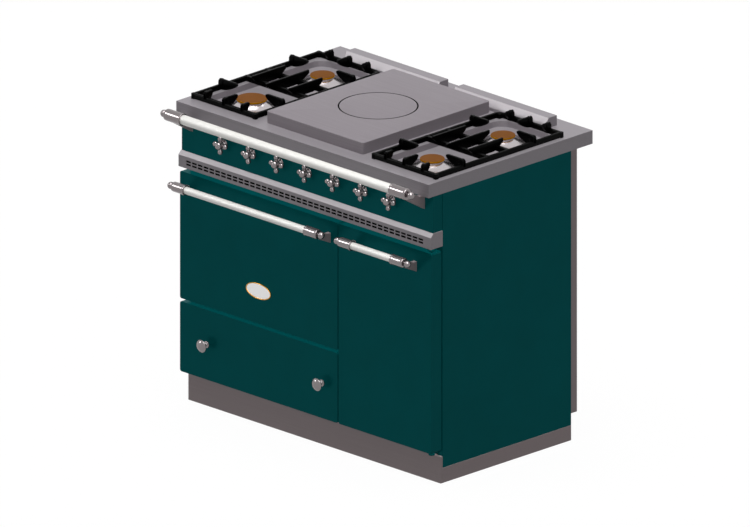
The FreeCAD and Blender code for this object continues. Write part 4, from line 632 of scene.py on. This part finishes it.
heads = []
skirts = []
for burner in BURNERS:
    node = "burner_cap_" + burner
    low, high = corners_of(node)
    place = (*(low[:2] + high[:2]) / 2, FLOOR)
    cap_radius = (high[0] - low[0]) / 2
    heads.append(moved(burner_head(cap_radius), place))
    skirts.append(moved(burner_skirt(cap_radius), place))
    cap = moved(burner_cap(cap_radius), place)
    # Faces whose normal leans far from straight up get the amber copy, as painted light on the cap's side.
    finishes = [bronze, bronze_side_painted_light]
    made = piece("bronze_cap_" + burner, cap, "cap_" + burner, finishes, [node])
    give_finish(made, 1, per_face(made, "normal")[:, 2] < CAP_RIM_SLOPE)
heads = together(*heads)
piece("flame_port_heads", heads, "cabinet", [head_aluminium], ["burner_heads"])
piece("polished_skirts", together(*skirts), "cabinet", [burner_aluminium], ["burner_skirts"])

# %% [markdown]
# The simmer plate is one casting with a lift-out disc in its middle. Its sides are joined to its
# round opening by a surface that goes straight from each point of the outline to the point
# of the circle in the same direction. The tops are ground bright, and the groove between plate
# and disc is given a black finish as painted shade.

# %% Simmer plate and disc
PLATE_CORNER = 8
PLATE_EDGE = 1.6
PLATE_BREAK = 0.8
PLATE_FOOT = 4
PLATE_STEP = 12
GROOVE = 3
GROOVE_EDGE = 1
GROOVE_BREAK = 0.5
DISC_DEPTH = 10
PLATE_LOW, PLATE_HIGH = corners_of("simmer_plate")
DISC_LOW, DISC_HIGH = corners_of("simmer_disc")
DISC_RADIUS = (DISC_HIGH[0] - DISC_LOW[0]) / 2
DISC_CENTRE = (DISC_LOW[:2] + DISC_HIGH[:2]) / 2


def plate_rows():
    """Outlines of the plate from its foot up over the rounded edge and into the recess."""
    foot, top = PLATE_LOW[2], PLATE_HIGH[2]
    quarter = np.linspace(0, math.pi / 2, 5)
    insets = [PLATE_BREAK, 0, 0, *(PLATE_EDGE * (1 - np.cos(quarter)))]
    levels = [foot, foot + PLATE_BREAK, foot + PLATE_FOOT, *(top - PLATE_EDGE * (1 - np.sin(quarter)))]
    outward = divided(rectangle(PLATE_LOW, PLATE_HIGH, PLATE_CORNER), PLATE_STEP) - DISC_CENTRE
    angle = np.arctan2(outward[:, 1], outward[:, 0])
    half = (PLATE_HIGH[:2] - PLATE_LOW[:2]) / 2
    rows = []
    for inset, level in zip(insets, levels):
        rows.append((DISC_CENTRE + outward * (1 - inset / half), level))
    ring = np.column_stack([np.cos(angle), np.sin(angle)])
    hole = DISC_RADIUS + GROOVE
    for radius, level in ((hole + GROOVE_BREAK, top), (hole, top - GROOVE_BREAK), (hole, top - DISC_DEPTH)):
        rows.append((DISC_CENTRE + ring * radius, level))
    return rows


def paint_groove_shade(thing, least, most):
    """Paint shade: give the black second finish to faces whose middle is between two distances from the
    disc's axis.
    """
    away = np.linalg.norm(per_face(thing, "center")[:, :2] / MM - DISC_CENTRE, axis=1)
    give_finish(thing, 1, (away > least) & (away < most))


finishes = [plate_iron, painted_shade_black]
plate = piece("cast_simmer_plate", stacked(plate_rows()), "plate", finishes, ["simmer_plate"])
paint_groove_shade(plate, 0, DISC_RADIUS + GROOVE + GROOVE_EDGE)
disc_line = [(0, -DISC_DEPTH), (DISC_RADIUS, -DISC_DEPTH, 1), (DISC_RADIUS, 0, 0.8), (0, 0)]
disc = turned(rounded(disc_line, closed=False), steps=128)
disc = moved(disc, (*DISC_CENTRE, DISC_HIGH[2]))
disc = piece("lift_out_disc", disc, "disc", finishes, ["simmer_disc"])
paint_groove_shade(disc, DISC_RADIUS - GROOVE_EDGE, DISC_RADIUS + GROOVE)

# %% [markdown]
# A grate is a sand casting, so every side face leans a little for the pattern to leave the
# mould, and every edge is round. Bars are a drafted section carried along a line. The bottom
# of a finger curves up to its thin tip, and a small horn stands where it leaves the rail. A foot
# is a list of (width, level). The bars along Y are a list of (place across, half length, length
# of the fingers in line with them).

# %% Grates
GRATE_RAIL = 12
RAIL_TOP = HOB + 17
RAIL_BASE = HOB + 2
PAN_LEVEL = HOB + 33
DRAFT_SHARE = 0.05
BAR_ROUND = 1.6
BAR_HALF = 3.4
BAR_TIP = 9
BAR_FLAT = 26
BAR_POWER = 1.5
LONG_BARS = ((-73, 64.5, 18), (0, 84.5, 44), (73, 64.5, 18))
CROSS_OFFSET = 40
CROSS_INSET = 3
CROSS_HALF = 5
FINGER_REACH = 71
FINGER_POWER = 1.6
ROOT_SHARE = 0.22
ROOT_DROP = 3
TIP_DEPTH = 10
TIP_DROP = 3
TIP_SHARE = 0.86
HORN_INSET = 0.7
HORN_LENGTH = 17
HORN_HALF = 5.6
HORN_LIFT = 2
HORN_DROP = 6
HORN_STATIONS = 9
LEAST_CORNER = 0.01
TIGHT_CORNER = 8
WIDE_CORNER = 28
WIDE_LEAN = 7
FOOT_CORNER = 3
FOOT_SECTIONS = ((13, HOB), (13.5, HOB + 3), (14.5, RAIL_TOP - 3), (12, RAIL_TOP - 1))
RING_SECTION = (
    (0, RAIL_BASE),
    (1, RAIL_TOP - 3),
    (2.4, RAIL_TOP - 0.8),
    (4, RAIL_TOP),
    (GRATE_RAIL - 4, RAIL_TOP),
    (GRATE_RAIL - 1.6, RAIL_TOP - 1),
    (GRATE_RAIL - 0.6, RAIL_TOP - 3),
    (GRATE_RAIL, RAIL_BASE),
)


def bar(axis, middle, stations, low, high, half_top):
    """A drafted bar: at each station a section whose half width grows downwards by the draft."""
    quarter = np.linspace(0, math.pi / 2, 4)
    drop = BAR_ROUND * (1 - np.sin(quarter))
    draw_in = BAR_ROUND * (1 - np.cos(quarter))
    stations, low, high = (np.asarray(values, float) for values in (stations, low, high))
    height = high - low
    base = half_top + height * DRAFT_SHARE
    side = [(-base, low), (base, low)]
    side += [(half_top - inward, high - down) for down, inward in zip(drop, draw_in)]
    side += [(inward - half_top, high - down) for down, inward in zip(drop[::-1], draw_in[::-1])]
    rows = []
    for offset, level in side:
        offset = np.broadcast_to(offset, stations.shape)
        spots = (middle + offset, stations) if axis == "Y" else (stations, middle + offset)
        rows.append(np.column_stack([*spots, level]))
    shape = grid(np.stack(rows), round_rows=True)
    count, length = len(rows), len(stations)
    shape[1].append([row * length for row in range(count)])
    shape[1].append([row * length + length - 1 for row in range(count)][::-1])
    return shape


def grate_finger(axis, rail, tip, middle):
    """A pot finger: its underside rises towards the tip, and a round horn stands on the rail."""
    way = 1 if tip > rail else -1
    root = rail + way * HORN_INSET
    share = np.linspace(0, 1, 29)
    stations = root + (tip - root) * share
    rise = np.clip((share - ROOT_SHARE) / (1 - ROOT_SHARE), 0, 1) ** FINGER_POWER
    round_end = np.clip((share - TIP_SHARE) / (1 - TIP_SHARE), 0, 1) ** 2
    under = RAIL_BASE + (PAN_LEVEL - TIP_DEPTH - RAIL_BASE) * rise + TIP_DROP * round_end
    top = PAN_LEVEL - ROOT_DROP * (share == 0) - TIP_DROP * round_end
    web = bar(axis, middle, stations, under, top, BAR_HALF)
    horn_share = np.linspace(0, 1, HORN_STATIONS)
    horn_at = root + way * HORN_LENGTH * horn_share
    horn_base = np.full(HORN_STATIONS, RAIL_BASE + HORN_LIFT)
    horn_top = PAN_LEVEL - HORN_DROP * np.abs(2 * horn_share - 1) ** 3
    return together(web, bar(axis, middle, horn_at, horn_base, horn_top, HORN_HALF))


def ring_line(low, high, inset, inner):
    """The ring's outline: tight corners, and a wide one at the back beside the simmer plate."""
    spots = [(low[0], low[1]), (high[0], low[1]), (high[0], high[1]), (low[0], high[1])]
    ways = [(1, 1), (-1, 1), (-1, -1), (1, -1)]
    corners = []
    for (x, y), (way_x, way_y) in zip(spots, ways):
        wide = way_x == inner and way_y == -1
        bend = max((WIDE_CORNER if wide else TIGHT_CORNER) - inset, LEAST_CORNER)
        corners.append((x + way_x * inset, y + way_y * inset, bend))
    return rounded(corners, steps=8)


def grate(low, high, burner_y, inner):
    """The ring of rails on four tapered feet, two cross rails, three bars and ten fingers."""
    rows = [level_line(ring_line(low, high, inset, inner), level) for inset, level in RING_SECTION]
    shapes = [grid(np.stack(rows), round_rows=True, round_columns=True)]
    for x, way_x in ((low[0], 1), (high[0], -1)):
        for y, way_y in ((low[1], 1), (high[1], -1)):
            lean = WIDE_LEAN if way_x == inner and way_y == -1 else 0
            near = np.array([x + way_x * lean, y + way_y * lean])
            foot = []
            for reach, level in FOOT_SECTIONS:
                far = near + np.array([way_x, way_y]) * reach
                foot.append((rectangle(np.minimum(near, far), np.maximum(near, far), FOOT_CORNER), level))
            shapes.append(stacked(foot))
    middle_x = (low[0] + high[0]) / 2
    middle_y = (low[1] + high[1]) / 2
    ends = np.array([low[0] + CROSS_INSET, high[0] - CROSS_INSET])
    for offset in (-CROSS_OFFSET, CROSS_OFFSET):
        shapes.append(bar("X", middle_y + offset, ends, [RAIL_BASE] * 2, [RAIL_TOP] * 2, CROSS_HALF))
    share = np.linspace(-1, 1, 17)
    for offset, reach, finger in LONG_BARS:
        x = middle_x + offset
        hollow = np.clip((np.abs(share) * reach - BAR_FLAT) / (reach - BAR_FLAT), 0, 1)
        under = RAIL_BASE + (PAN_LEVEL - BAR_TIP - RAIL_BASE) * hollow**BAR_POWER
        top = np.full(len(share), PAN_LEVEL)
        shapes.append(bar("Y", x, middle_y + reach * share, under, top, BAR_HALF))
        shapes.append(grate_finger("Y", low[1], low[1] + finger + GRATE_RAIL, x))
        shapes.append(grate_finger("Y", high[1], high[1] - finger - GRATE_RAIL, x))
    for y in burner_y:
        shapes.append(grate_finger("X", low[0], low[0] + FINGER_REACH, y))
        shapes.append(grate_finger("X", high[0], high[0] - FINGER_REACH, y))
    return together(*shapes)


for side, inner in (("left", -1), ("right", 1)):
    low, high = corners_of("grate_" + side)
    caps = [corners_of(f"burner_cap_{end}_{side}") for end in ("front", "rear")]
    middles = [(ends[0][1] + ends[1][1]) / 2 for ends in caps]
    shape = grate(low, high, middles, inner)
    piece("iron_grate_" + side, shape, side + "_grate", [black_iron], ["grate_" + side])

# %% [markdown]
# The flue hoods let the oven's hot air out behind the pans. Each is folded from one sheet: walls
# all round whose front corners are bent on a roll, a sloping front and a flat top. The wall
# ends where it meets the slope, so its height at a point follows from how far back it lies. The
# slope has a lighter copy of the steel: a painted highlight where the light glances off it.

# %% Flue hoods
HOOD_LENGTH = 370
HOOD_SHEET = 2
HOOD_EDGE = 0.4
HOOD_LIP = 9
HOOD_RUN = 12
HOOD_BEND = 11.9
OUTLET_LEVEL_SHARES = (0.0, 8 / 30, 20 / 30, 1.0)
OUTLET_INSET = 30
SLOPE_SHARE = 0.3


def flue_hood(low, high):
    """Walls up to the slope's plane, the sloping front and the flat top, open at the back slot."""
    rise = high[2] - low[2]
    knee = low[1] + HOOD_RUN
    bends = [(low[0], low[1], HOOD_BEND), (high[0], low[1], HOOD_BEND)]
    front = rounded([(low[0], knee), *bends, (high[0], knee)], closed=False, steps=8)
    rear_x = [high[0], high[0] - OUTLET_INSET, low[0] + OUTLET_INSET, low[0]]
    rear = np.column_stack([rear_x, np.full(4, high[1])])
    path = np.vstack([front, rear])
    top = np.minimum(rise, HOOD_LIP + (path[:, 1] - low[1]) * (rise - HOOD_LIP) / HOOD_RUN)
    rows = [np.column_stack([path, low[2] + top * share]) for share in OUTLET_LEVEL_SHARES]
    points, faces = grid(np.stack(rows), round_columns=True)
    count = len(path)
    slot_column = len(front) + 1
    faces = [face for face in faces if face[0] != count + slot_column]
    last = 3 * count
    edge = len(front)
    faces.append([last + index for index in range(edge)])
    faces.append([last + edge - 1] + [last + index for index in range(edge, count)] + [last])
    return points, faces


def paint_slope_highlight(thing):
    """Give the lighter second finish, a painted highlight, to the faces that lean back from the front."""
    normals = per_face(thing, "normal")
    give_finish(thing, 1, (normals[:, 1] < -SLOPE_SHARE) & (normals[:, 2] > SLOPE_SHARE))


HOODS_LOW, HOODS_HIGH = corners_of("flue_hoods")
left_hood = flue_hood(HOODS_LOW, np.array([HOODS_LOW[0] + HOOD_LENGTH, *HOODS_HIGH[1:]]))
hoods = mirrored_pair(left_hood, (HOODS_LOW[0] + HOODS_HIGH[0]) / 2)
finishes = [steel, slope_painted_highlight_steel]
hoods = piece("folded_flue_hoods", hoods, "cabinet", finishes, ["flue_hoods"])
paint_slope_highlight(hoods)
wall = hoods.modifiers.new("sheet", "SOLIDIFY")
wall.thickness = HOOD_SHEET * MM
wall.offset = -1
soften(hoods, HOOD_EDGE)

# %% [markdown]
# The vent strip keeps its folded shape. Its triangles are taken over so that the slope above the
# slots can have the lighter steel, a painted highlight, and the slot walls a black painted shade.
# Close behind the slots stands a black sheet, a dark sheet where there is only shade, so the
# slots look black. Each slot is drawn a little taller than in the frame, so that the two rows show as
# boldly as they do on the cooker.

# %% Vent strip
STRIP_EDGE = 0.2
WALL_SHARE = 0.1
SLOT_ROWS = (13, 22)
SLOT_REACH = 3
SLOT_WIDENING = 0.6
BAFFLE_GAP = 3
BAFFLE_SHEET = 1
BAFFLE_HEIGHT = 32
BAFFLE_FOLD = 8
BAFFLE_BEND = 2


def paint_slot_shade(thing, low, high):
    """Paint shade: give the black third finish to the narrow walls of the slots, which lie within the
    sheet.
    """
    x, y, z = (per_face(thing, "center") / MM).T
    within = (x > low[0] + BAFFLE_GAP) & (x < high[0] - BAFFLE_GAP)
    within &= (y < low[1] + BAFFLE_GAP) & (z > low[2] + BAFFLE_GAP)
    give_finish(thing, 2, within & (np.abs(per_face(thing, "normal")[:, 1]) < WALL_SHARE))


STRIP_LOW, STRIP_HIGH = corners_of("vent_strip")
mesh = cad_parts["vent_strip"].data
points = np.array([vertex.co for vertex in mesh.vertices]) / MM
faces = [list(face.vertices) for face in mesh.polygons]
for row in SLOT_ROWS:
    above = points[:, 2] - STRIP_LOW[2] - row
    points[:, 2] += SLOT_WIDENING * np.sign(above) * (np.abs(above) < SLOT_REACH)
finishes = [steel, slope_painted_highlight_steel, painted_shade_black]
strip = piece(
    "vented_strip", (points, faces), "cabinet", finishes, ["vent_strip"], STRIP_EDGE
)
paint_slope_highlight(strip)
paint_slot_shade(strip, STRIP_LOW, STRIP_HIGH)
# A folded black sheet behind the slots: a dark sheet where there is only shade, so that the slots look
# black.
y = STRIP_LOW[1] + BAFFLE_GAP
top = STRIP_LOW[2] + BAFFLE_HEIGHT
front = [(y, STRIP_LOW[2] + BAFFLE_GAP), (y, top, BAFFLE_BEND), (y + BAFFLE_FOLD, top + BAFFLE_FOLD)]
back = [(y + BAFFLE_SHEET, *rest) for y, *rest in front[::-1]]
baffle = carried(rounded(front + back), (STRIP_LOW[0] + BAFFLE_GAP, STRIP_HIGH[0] - BAFFLE_GAP))
piece("vent_painted_shade_sheet", baffle, "cabinet", [painted_shade_black], ["vent_strip"])

# %% [markdown]
# Handrail and door handles are porcelain tubes held by chrome ferrules, each with a ring at both
# ends and a ball in front. All are turned, so each is a profile of radius against length.
# A flat bracket, bent down to the panel, carries each ferrule. It starts at an offset from the
# ball's tip, and its foot lies between two heights above the ground.

# %% Handrail and door handles
RING = 4
RING_BEND = 1.6
BRACKET_EDGE = 0.8
TUBE_BEND = 2
RAIL = dict(ball=11, ring=17.9, sleeve=17.3, length=86, offset=33.5, width=13, foot=(814, 857), knee=22)
HANDLE = dict(ball=10.5, ring=15, sleeve=14.4, length=70, offset=22, width=12, foot=(624, 655), knee=14)
RAIL_TUBE = 14
HANDLE_TUBE = 10.5


def ferrule(ball, ring, sleeve, length):
    """A ball, a short neck, a ring, the sleeve and a second ring, turned about the tube's axis."""
    turn = np.linspace(0, math.pi * 0.83, 14)
    ball_part = np.column_stack([ball * np.sin(turn), ball - ball * np.cos(turn)])
    start = ball * 2
    sleeve_part = rounded(
        [
            (ball * 0.5, start),
            (sleeve * 0.97, start, 3),
            (sleeve, start + RING * 2, 12),
            (sleeve, length - RING * 1.5, 2),
            (ring, length - RING, RING_BEND),
            (ring, length, RING_BEND),
            (sleeve * 0.55, length),
        ],
        closed=False,
        steps=5,
    )
    return turned(np.vstack([ball_part, sleeve_part]), steps=48)


def fitting(tip, face_y, ball, ring, sleeve, length, offset, width, foot, knee):
    """A ferrule that points to +X from its ball's tip, and its bracket down to the panel."""
    x, y, z = tip
    turned_part = moved(ferrule(ball, ring, sleeve, length), tip, TO_RIGHT)
    outline = rounded(
        [
            (face_y, foot[0], 1.5),
            (face_y, foot[1], 1.5),
            (face_y - knee, foot[1], 6),
            (y + sleeve * 0.5, z + sleeve * 0.45),
            (y - sleeve * 0.5, z - sleeve * 0.75, 3),
        ]
    )
    return turned_part, carried(outline, (x + offset, x + offset + width))


for bar_name, body, measure, tube_radius, carrier in (
    ("handrail", "cabinet", RAIL, RAIL_TUBE, "control_panel"),
    ("oven_handle", "oven_door", HANDLE, HANDLE_TUBE, "oven_door_panel"),
    ("cupboard_handle", "cupboard_door", HANDLE, HANDLE_TUBE, "cupboard_door_panel"),
):
    node = bar_name + "_fittings"
    low, high = corners_of(node)
    tube_low, tube_high = corners_of(bar_name + "_tube")
    axis = (tube_low + tube_high) / 2
    left = fitting((low[0], *axis[1:]), corners_of(carrier)[0][1], **measure)
    ferrules, brackets = (mirrored_pair(part, (low[0] + high[0]) / 2) for part in left)
    piece(bar_name + "_ferrules", ferrules, body, [chrome], [node])
    piece(bar_name + "_brackets", brackets, body, [bracket_steel], [node], BRACKET_EDGE)
    half = (tube_high[0] - tube_low[0]) / 2
    tube_line = [(0, -half), (tube_radius, -half, TUBE_BEND), (tube_radius, half, TUBE_BEND), (0, half)]
    tube = moved(turned(rounded(tube_line, closed=False)), axis, TO_RIGHT)
    piece(bar_name + "_porcelain", tube, body, [porcelain], [bar_name + "_tube"])

# %% [markdown]
# A control knob is a turned hub with a dome in front and four arms that end in balls. An arm's
# radius blends a slim stem with a ball: the two radii are added as powers, so the larger one
# wins and the joint between them is smooth.

# %% Control knobs
BLEND_POWER = 5
KNOB_HUB = ((5, 0), (15, 0, 0.8), (15, 2.2, 1.0), (8.2, 5.6, 3), (8, 12))
DOME_RADIUS = 11
DOME_LEVEL = 20.5
DOME_START = -0.75
ARM_LEVEL = 14
ARM_STEM = 5.4
ARM_BALL = 7.5
ARM_REACH = 20
ARM_START = 4


def knob_lobe():
    """A lobe along +Z: radius = (stem to the power p + ball to the power p) to the power 1/p."""
    straight = np.linspace(ARM_START, ARM_REACH - ARM_BALL, 5)[:-1]
    around = ARM_REACH - ARM_BALL * np.cos(np.linspace(0, math.pi, 19))
    way = np.concatenate([straight, around])
    round_part = np.sqrt(np.clip(ARM_BALL**2 - (way - ARM_REACH) ** 2, 0, None))
    slim = np.where(way < ARM_REACH, ARM_STEM, 0)
    radius = (slim**BLEND_POWER + round_part**BLEND_POWER) ** (1 / BLEND_POWER)
    return turned(np.column_stack([radius, way]), steps=28)


def control_knob():
    """Skirt, waist and dome turned about +Z, with four lobes square to it."""
    dome = np.linspace(DOME_START, math.pi / 2, 16)
    hub = rounded(KNOB_HUB, closed=False, steps=5)
    globe = np.column_stack([DOME_RADIUS * np.cos(dome), DOME_LEVEL + DOME_RADIUS * np.sin(dome)])
    shapes = [turned(np.vstack([hub, globe]), steps=48)]
    for quarter in range(4):
        sine, cosine = math.sin(quarter * math.pi / 2), math.cos(quarter * math.pi / 2)
        turn = np.array([[-sine, 0, cosine], [cosine, 0, sine], [0, 1, 0]])
        shapes.append(moved(knob_lobe(), (0, 0, ARM_LEVEL), turn))
    return together(*shapes)


knob_shape = control_knob()
for index in range(1, 8):
    low, high = corners_of(f"control_knob_{index}")
    centre = (low + high) / 2
    placed = moved(knob_shape, (centre[0], high[1], centre[2]), TO_FRONT)
    piece(f"chrome_knob_{index}", placed, f"knob_{index}", [chrome], [f"control_knob_{index}"])

# %% [markdown]
# The drawer knobs are mushrooms: a foot, a waisted stem, a rounded edge and a shallow crown.

# %% Drawer knobs
PULL_RADIUS = 18.5
PULL_EDGE = 22.5
PULL_CROWN = 8.5
PULL_LIP = 0.6
PULL_STEM = ((0, 0), (10, 0, 0.6), (10, 3, 0.8), (5.5, 6.5, 3), (5.5, 15, 4), (17, 20, 1.5))
crown_ball = (PULL_RADIUS**2 + PULL_CROWN**2) / (2 * PULL_CROWN)
crown_radius = PULL_RADIUS * np.cos(np.linspace(0, math.pi / 2, 14))
crown_rise = np.sqrt(crown_ball**2 - crown_radius**2) - crown_ball + PULL_CROWN
crown = np.column_stack([crown_radius, PULL_EDGE + crown_rise])
stem = rounded([*PULL_STEM, (PULL_RADIUS, PULL_EDGE - PULL_LIP)], closed=False, steps=7)
pull_shape = turned(np.vstack([stem, crown]))
PULLS_LOW, PULLS_HIGH = corners_of("drawer_knobs")
pulls = []
for x in (PULLS_LOW[0] + PULL_RADIUS, PULLS_HIGH[0] - PULL_RADIUS):
    place = (x, PULLS_HIGH[1], (PULLS_LOW[2] + PULLS_HIGH[2]) / 2)
    pulls.append(moved(pull_shape, place, TO_FRONT))
piece("mushroom_pulls", together(*pulls), "drawer", [chrome], ["drawer_knobs"])

# %% [markdown]
# The badge is a silvered oval in a thin gilded rim. It is left bare. Both are ovals drawn in by
# small steps: the ground has a low crown, and the rim a round back.

# %% Badge
BADGE_LOW, BADGE_HIGH = corners_of("badge_plate")
OVAL_STEPS = 96
GROUND_INSET = 1.2
GROUND_BACK = 0.2
GROUND_EDGE = 1.6
GROUND_TOP = 2.2
GROUND_FALL = 0.6
CROWN_INSETS = (4, 8, 13, 18, 22)
RIM_WIDTH = 3
RIM_RISE = 1.4
RIM_BACK = 0.1


def oval(inset):
    """The badge's ellipse drawn in by an inset."""
    angle = np.linspace(0, 2 * math.pi, OVAL_STEPS, endpoint=False)
    return np.column_stack([(half_width - inset) * np.cos(angle), (half_height - inset) * np.sin(angle)])


half_width, _, half_height = (BADGE_HIGH - BADGE_LOW) / 2
badge_middle = (BADGE_LOW + BADGE_HIGH) / 2
badge_place = (badge_middle[0], BADGE_HIGH[1], badge_middle[2])
ground_rows = [(oval(GROUND_INSET), GROUND_BACK), (oval(GROUND_INSET), GROUND_EDGE)]
for inset in CROWN_INSETS:
    level = GROUND_TOP - GROUND_FALL * (1 - inset / CROWN_INSETS[-1]) ** 4
    ground_rows.append((oval(inset), level))
ground = moved(stacked(ground_rows), badge_place, TO_FRONT)
rim_rows = [level_line(oval(0), RIM_BACK)]
for turn in np.linspace(0, math.pi, 9):
    inset = RIM_WIDTH / 2 - RIM_WIDTH / 2 * math.cos(turn)
    rim_rows.append(level_line(oval(inset), GROUND_EDGE + RIM_RISE * math.sin(turn)))
rim_rows.append(level_line(oval(RIM_WIDTH), RIM_BACK))
rim = moved(grid(np.stack(rim_rows), round_rows=True, round_columns=True), badge_place, TO_FRONT)
piece("badge_ground", ground, "oven_door", [badge_silver], ["badge_plate"])
piece("badge_rim", rim, "oven_door", [gold_rim], ["badge_plate"])

# %% [markdown]
# The oven is sealed by a glass rope around its mouth, pressed to a flat oval between the door
# and the face frame: an oval section carried around a rounded rectangle.

# %% Oven seal
SEAL_LOW, SEAL_HIGH = corners_of("oven_door_gasket")
SEAL_WIDTH = 10
SEAL_CORNER = 22
seal_depth = (SEAL_HIGH[1] - SEAL_LOW[1]) / 2
seal_rows = []
for turn in np.linspace(0, 2 * math.pi, 12, endpoint=False):
    inset = SEAL_WIDTH / 2 * (1 - math.cos(turn))
    line = rectangle(SEAL_LOW[[0, 2]], SEAL_HIGH[[0, 2]], SEAL_CORNER, inset)
    level = (SEAL_LOW[1] + SEAL_HIGH[1]) / 2 + seal_depth * math.sin(turn)
    seal_rows.append(np.column_stack([line[:, 0], np.full(len(line), level), line[:, 1]]))
seal = grid(np.stack(seal_rows), round_rows=True, round_columns=True)
piece("pressed_rope_seal", seal, "oven_door", [rope], ["oven_door_gasket"])

# %% [markdown]
# The floor is pale and plain. Part of its white is given only to what the camera, a mirror or
# glass sees, so that it looks as white as the room behind it while the cooker's shadow stays.

# %% Floor
FLOOR_RADIUS = 14000
FLOOR_HUB = 0.001
FLOOR_WHITE = "#6c6c6c"
FLOOR_GLOW = 0.85


def seen_rays(tree):
    """One where a ray comes from the camera, a reflection or a pane, and nought elsewhere."""
    path = add(tree, "ShaderNodeLightPath")
    seen = path.outputs["Is Camera Ray"]
    for kind in ("Is Glossy Ray", "Is Transmission Ray"):
        either = add(tree, "ShaderNodeMath", {"operation": "MAXIMUM"}, {0: seen, 1: path.outputs[kind]})
        seen = either.outputs[0]
    return seen


floor_paint = bpy.data.materials.new("pale_studio_floor")
floor_paint.use_nodes = True
tree = floor_paint.node_tree
tree.nodes.clear()
matt = add(tree, "ShaderNodeBsdfDiffuse", {"Color": linear(FLOOR_WHITE)})
glow = add(tree, "ShaderNodeMath", {"operation": "MULTIPLY", 1: FLOOR_GLOW}, {0: seen_rays(tree)})
light = add(tree, "ShaderNodeEmission", None, {"Strength": glow.outputs[0]})
both = add(tree, "ShaderNodeAddShader", None, {0: matt.outputs[0], 1: light.outputs[0]})
add(tree, "ShaderNodeOutputMaterial", None, {"Surface": both.outputs[0]})
points, faces = turned([(FLOOR_HUB, 0), (FLOOR_RADIUS, 0)])
floor_mesh = bpy.data.meshes.new("studio_floor")
floor_mesh.from_pydata((points * MM).tolist(), [], faces)
floor_mesh.materials.append(floor_paint)
floor = bpy.data.objects.new("studio_floor", floor_mesh)
bpy.context.scene.collection.objects.link(floor)

# %% [markdown]
# The room is white where it is looked at, and dimmer as a source of light, so that upright faces
# stay darker than the hob. Most light falls from above: one part from a wide lamp with soft
# shadows, the other from a fill that throws none. Weak fills come from the front and the back.
# Two glints are seen only by polished surfaces: one draws a bright line along tubes, one lights
# each ball.

# %% Room and lamps
ROOM_LIGHT = 0.12
WHITE = (1, 1, 1, 1)
world = bpy.data.worlds.new("white_room")
world.use_nodes = True
bpy.context.scene.world = world
tree = world.node_tree
tree.nodes.clear()
dim = add(tree, "ShaderNodeBackground", {"Color": WHITE, "Strength": ROOM_LIGHT})
white = add(tree, "ShaderNodeBackground", {"Color": WHITE, "Strength": 1.0})
mix = add(tree, "ShaderNodeMixShader", None, {0: seen_rays(tree), 1: dim.outputs[0], 2: white.outputs[0]})
add(tree, "ShaderNodeOutputWorld", None, {"Surface": mix.outputs[0]})


def far_lamp(name, towards, share, width, shadows=False, glint_only=False):
    """A far lamp, as wide as an angle. At a share of 1 a colour facing it shows as written."""
    lamp = bpy.data.lights.new(name, "SUN")
    lamp.energy = share * math.pi
    lamp.angle = math.radians(width)
    lamp.use_shadow = shadows
    thing = bpy.data.objects.new(name, lamp)
    thing.visible_diffuse = not glint_only
    thing.rotation_euler = Vector(towards).to_track_quat("Z", "Y").to_euler()
    bpy.context.scene.collection.objects.link(thing)


far_lamp("overhead_softbox", (-0.08, -0.1, 1.0), 0.16, 50, shadows=True)
far_lamp("overhead_fill", (0, 0, 1), 0.55, 30)
far_lamp("front_left_fill", (-0.667, -0.55, 0.5), 0.12, 10)
far_lamp("front_right_fill", (0.667, -0.5, 0.55), 0.16, 14)
far_lamp("back_fill", (0.2, 0.667, 0.72), 0.06, 10)
far_lamp("long_glint", (-0.667, -0.58, 0.47), 0.1, 16, glint_only=True)
far_lamp("ball_glint", (0.35, -0.35, 0.87), 0.85, 46, glint_only=True)

# %% [markdown]
# The picture is a parallel view from the front right, so equal lengths stay equal.

# %% Camera
AZIMUTH = math.radians(45)
ELEVATION = math.asin(1 / 3)
VIEW_WIDTH = 2.101
LOOK_AT = Vector((0, 0.0011, 0.4696))
CAMERA_DISTANCE = 6
level_way = Vector((math.sin(AZIMUTH), -math.cos(AZIMUTH), 0))
back_way = level_way * math.cos(ELEVATION) + Vector((0, 0, math.sin(ELEVATION)))
camera_data = bpy.data.cameras.new("portrait_camera")
camera_data.type = "ORTHO"
camera_data.ortho_scale = VIEW_WIDTH
camera = bpy.data.objects.new("portrait_camera", camera_data)
camera.location = LOOK_AT + back_way * CAMERA_DISTANCE
camera.rotation_euler = (-back_way).to_track_quat("-Z", "Y").to_euler()
bpy.context.scene.collection.objects.link(camera)
bpy.context.scene.camera = camera
bpy.context.scene.view_settings.view_transform = "Standard"
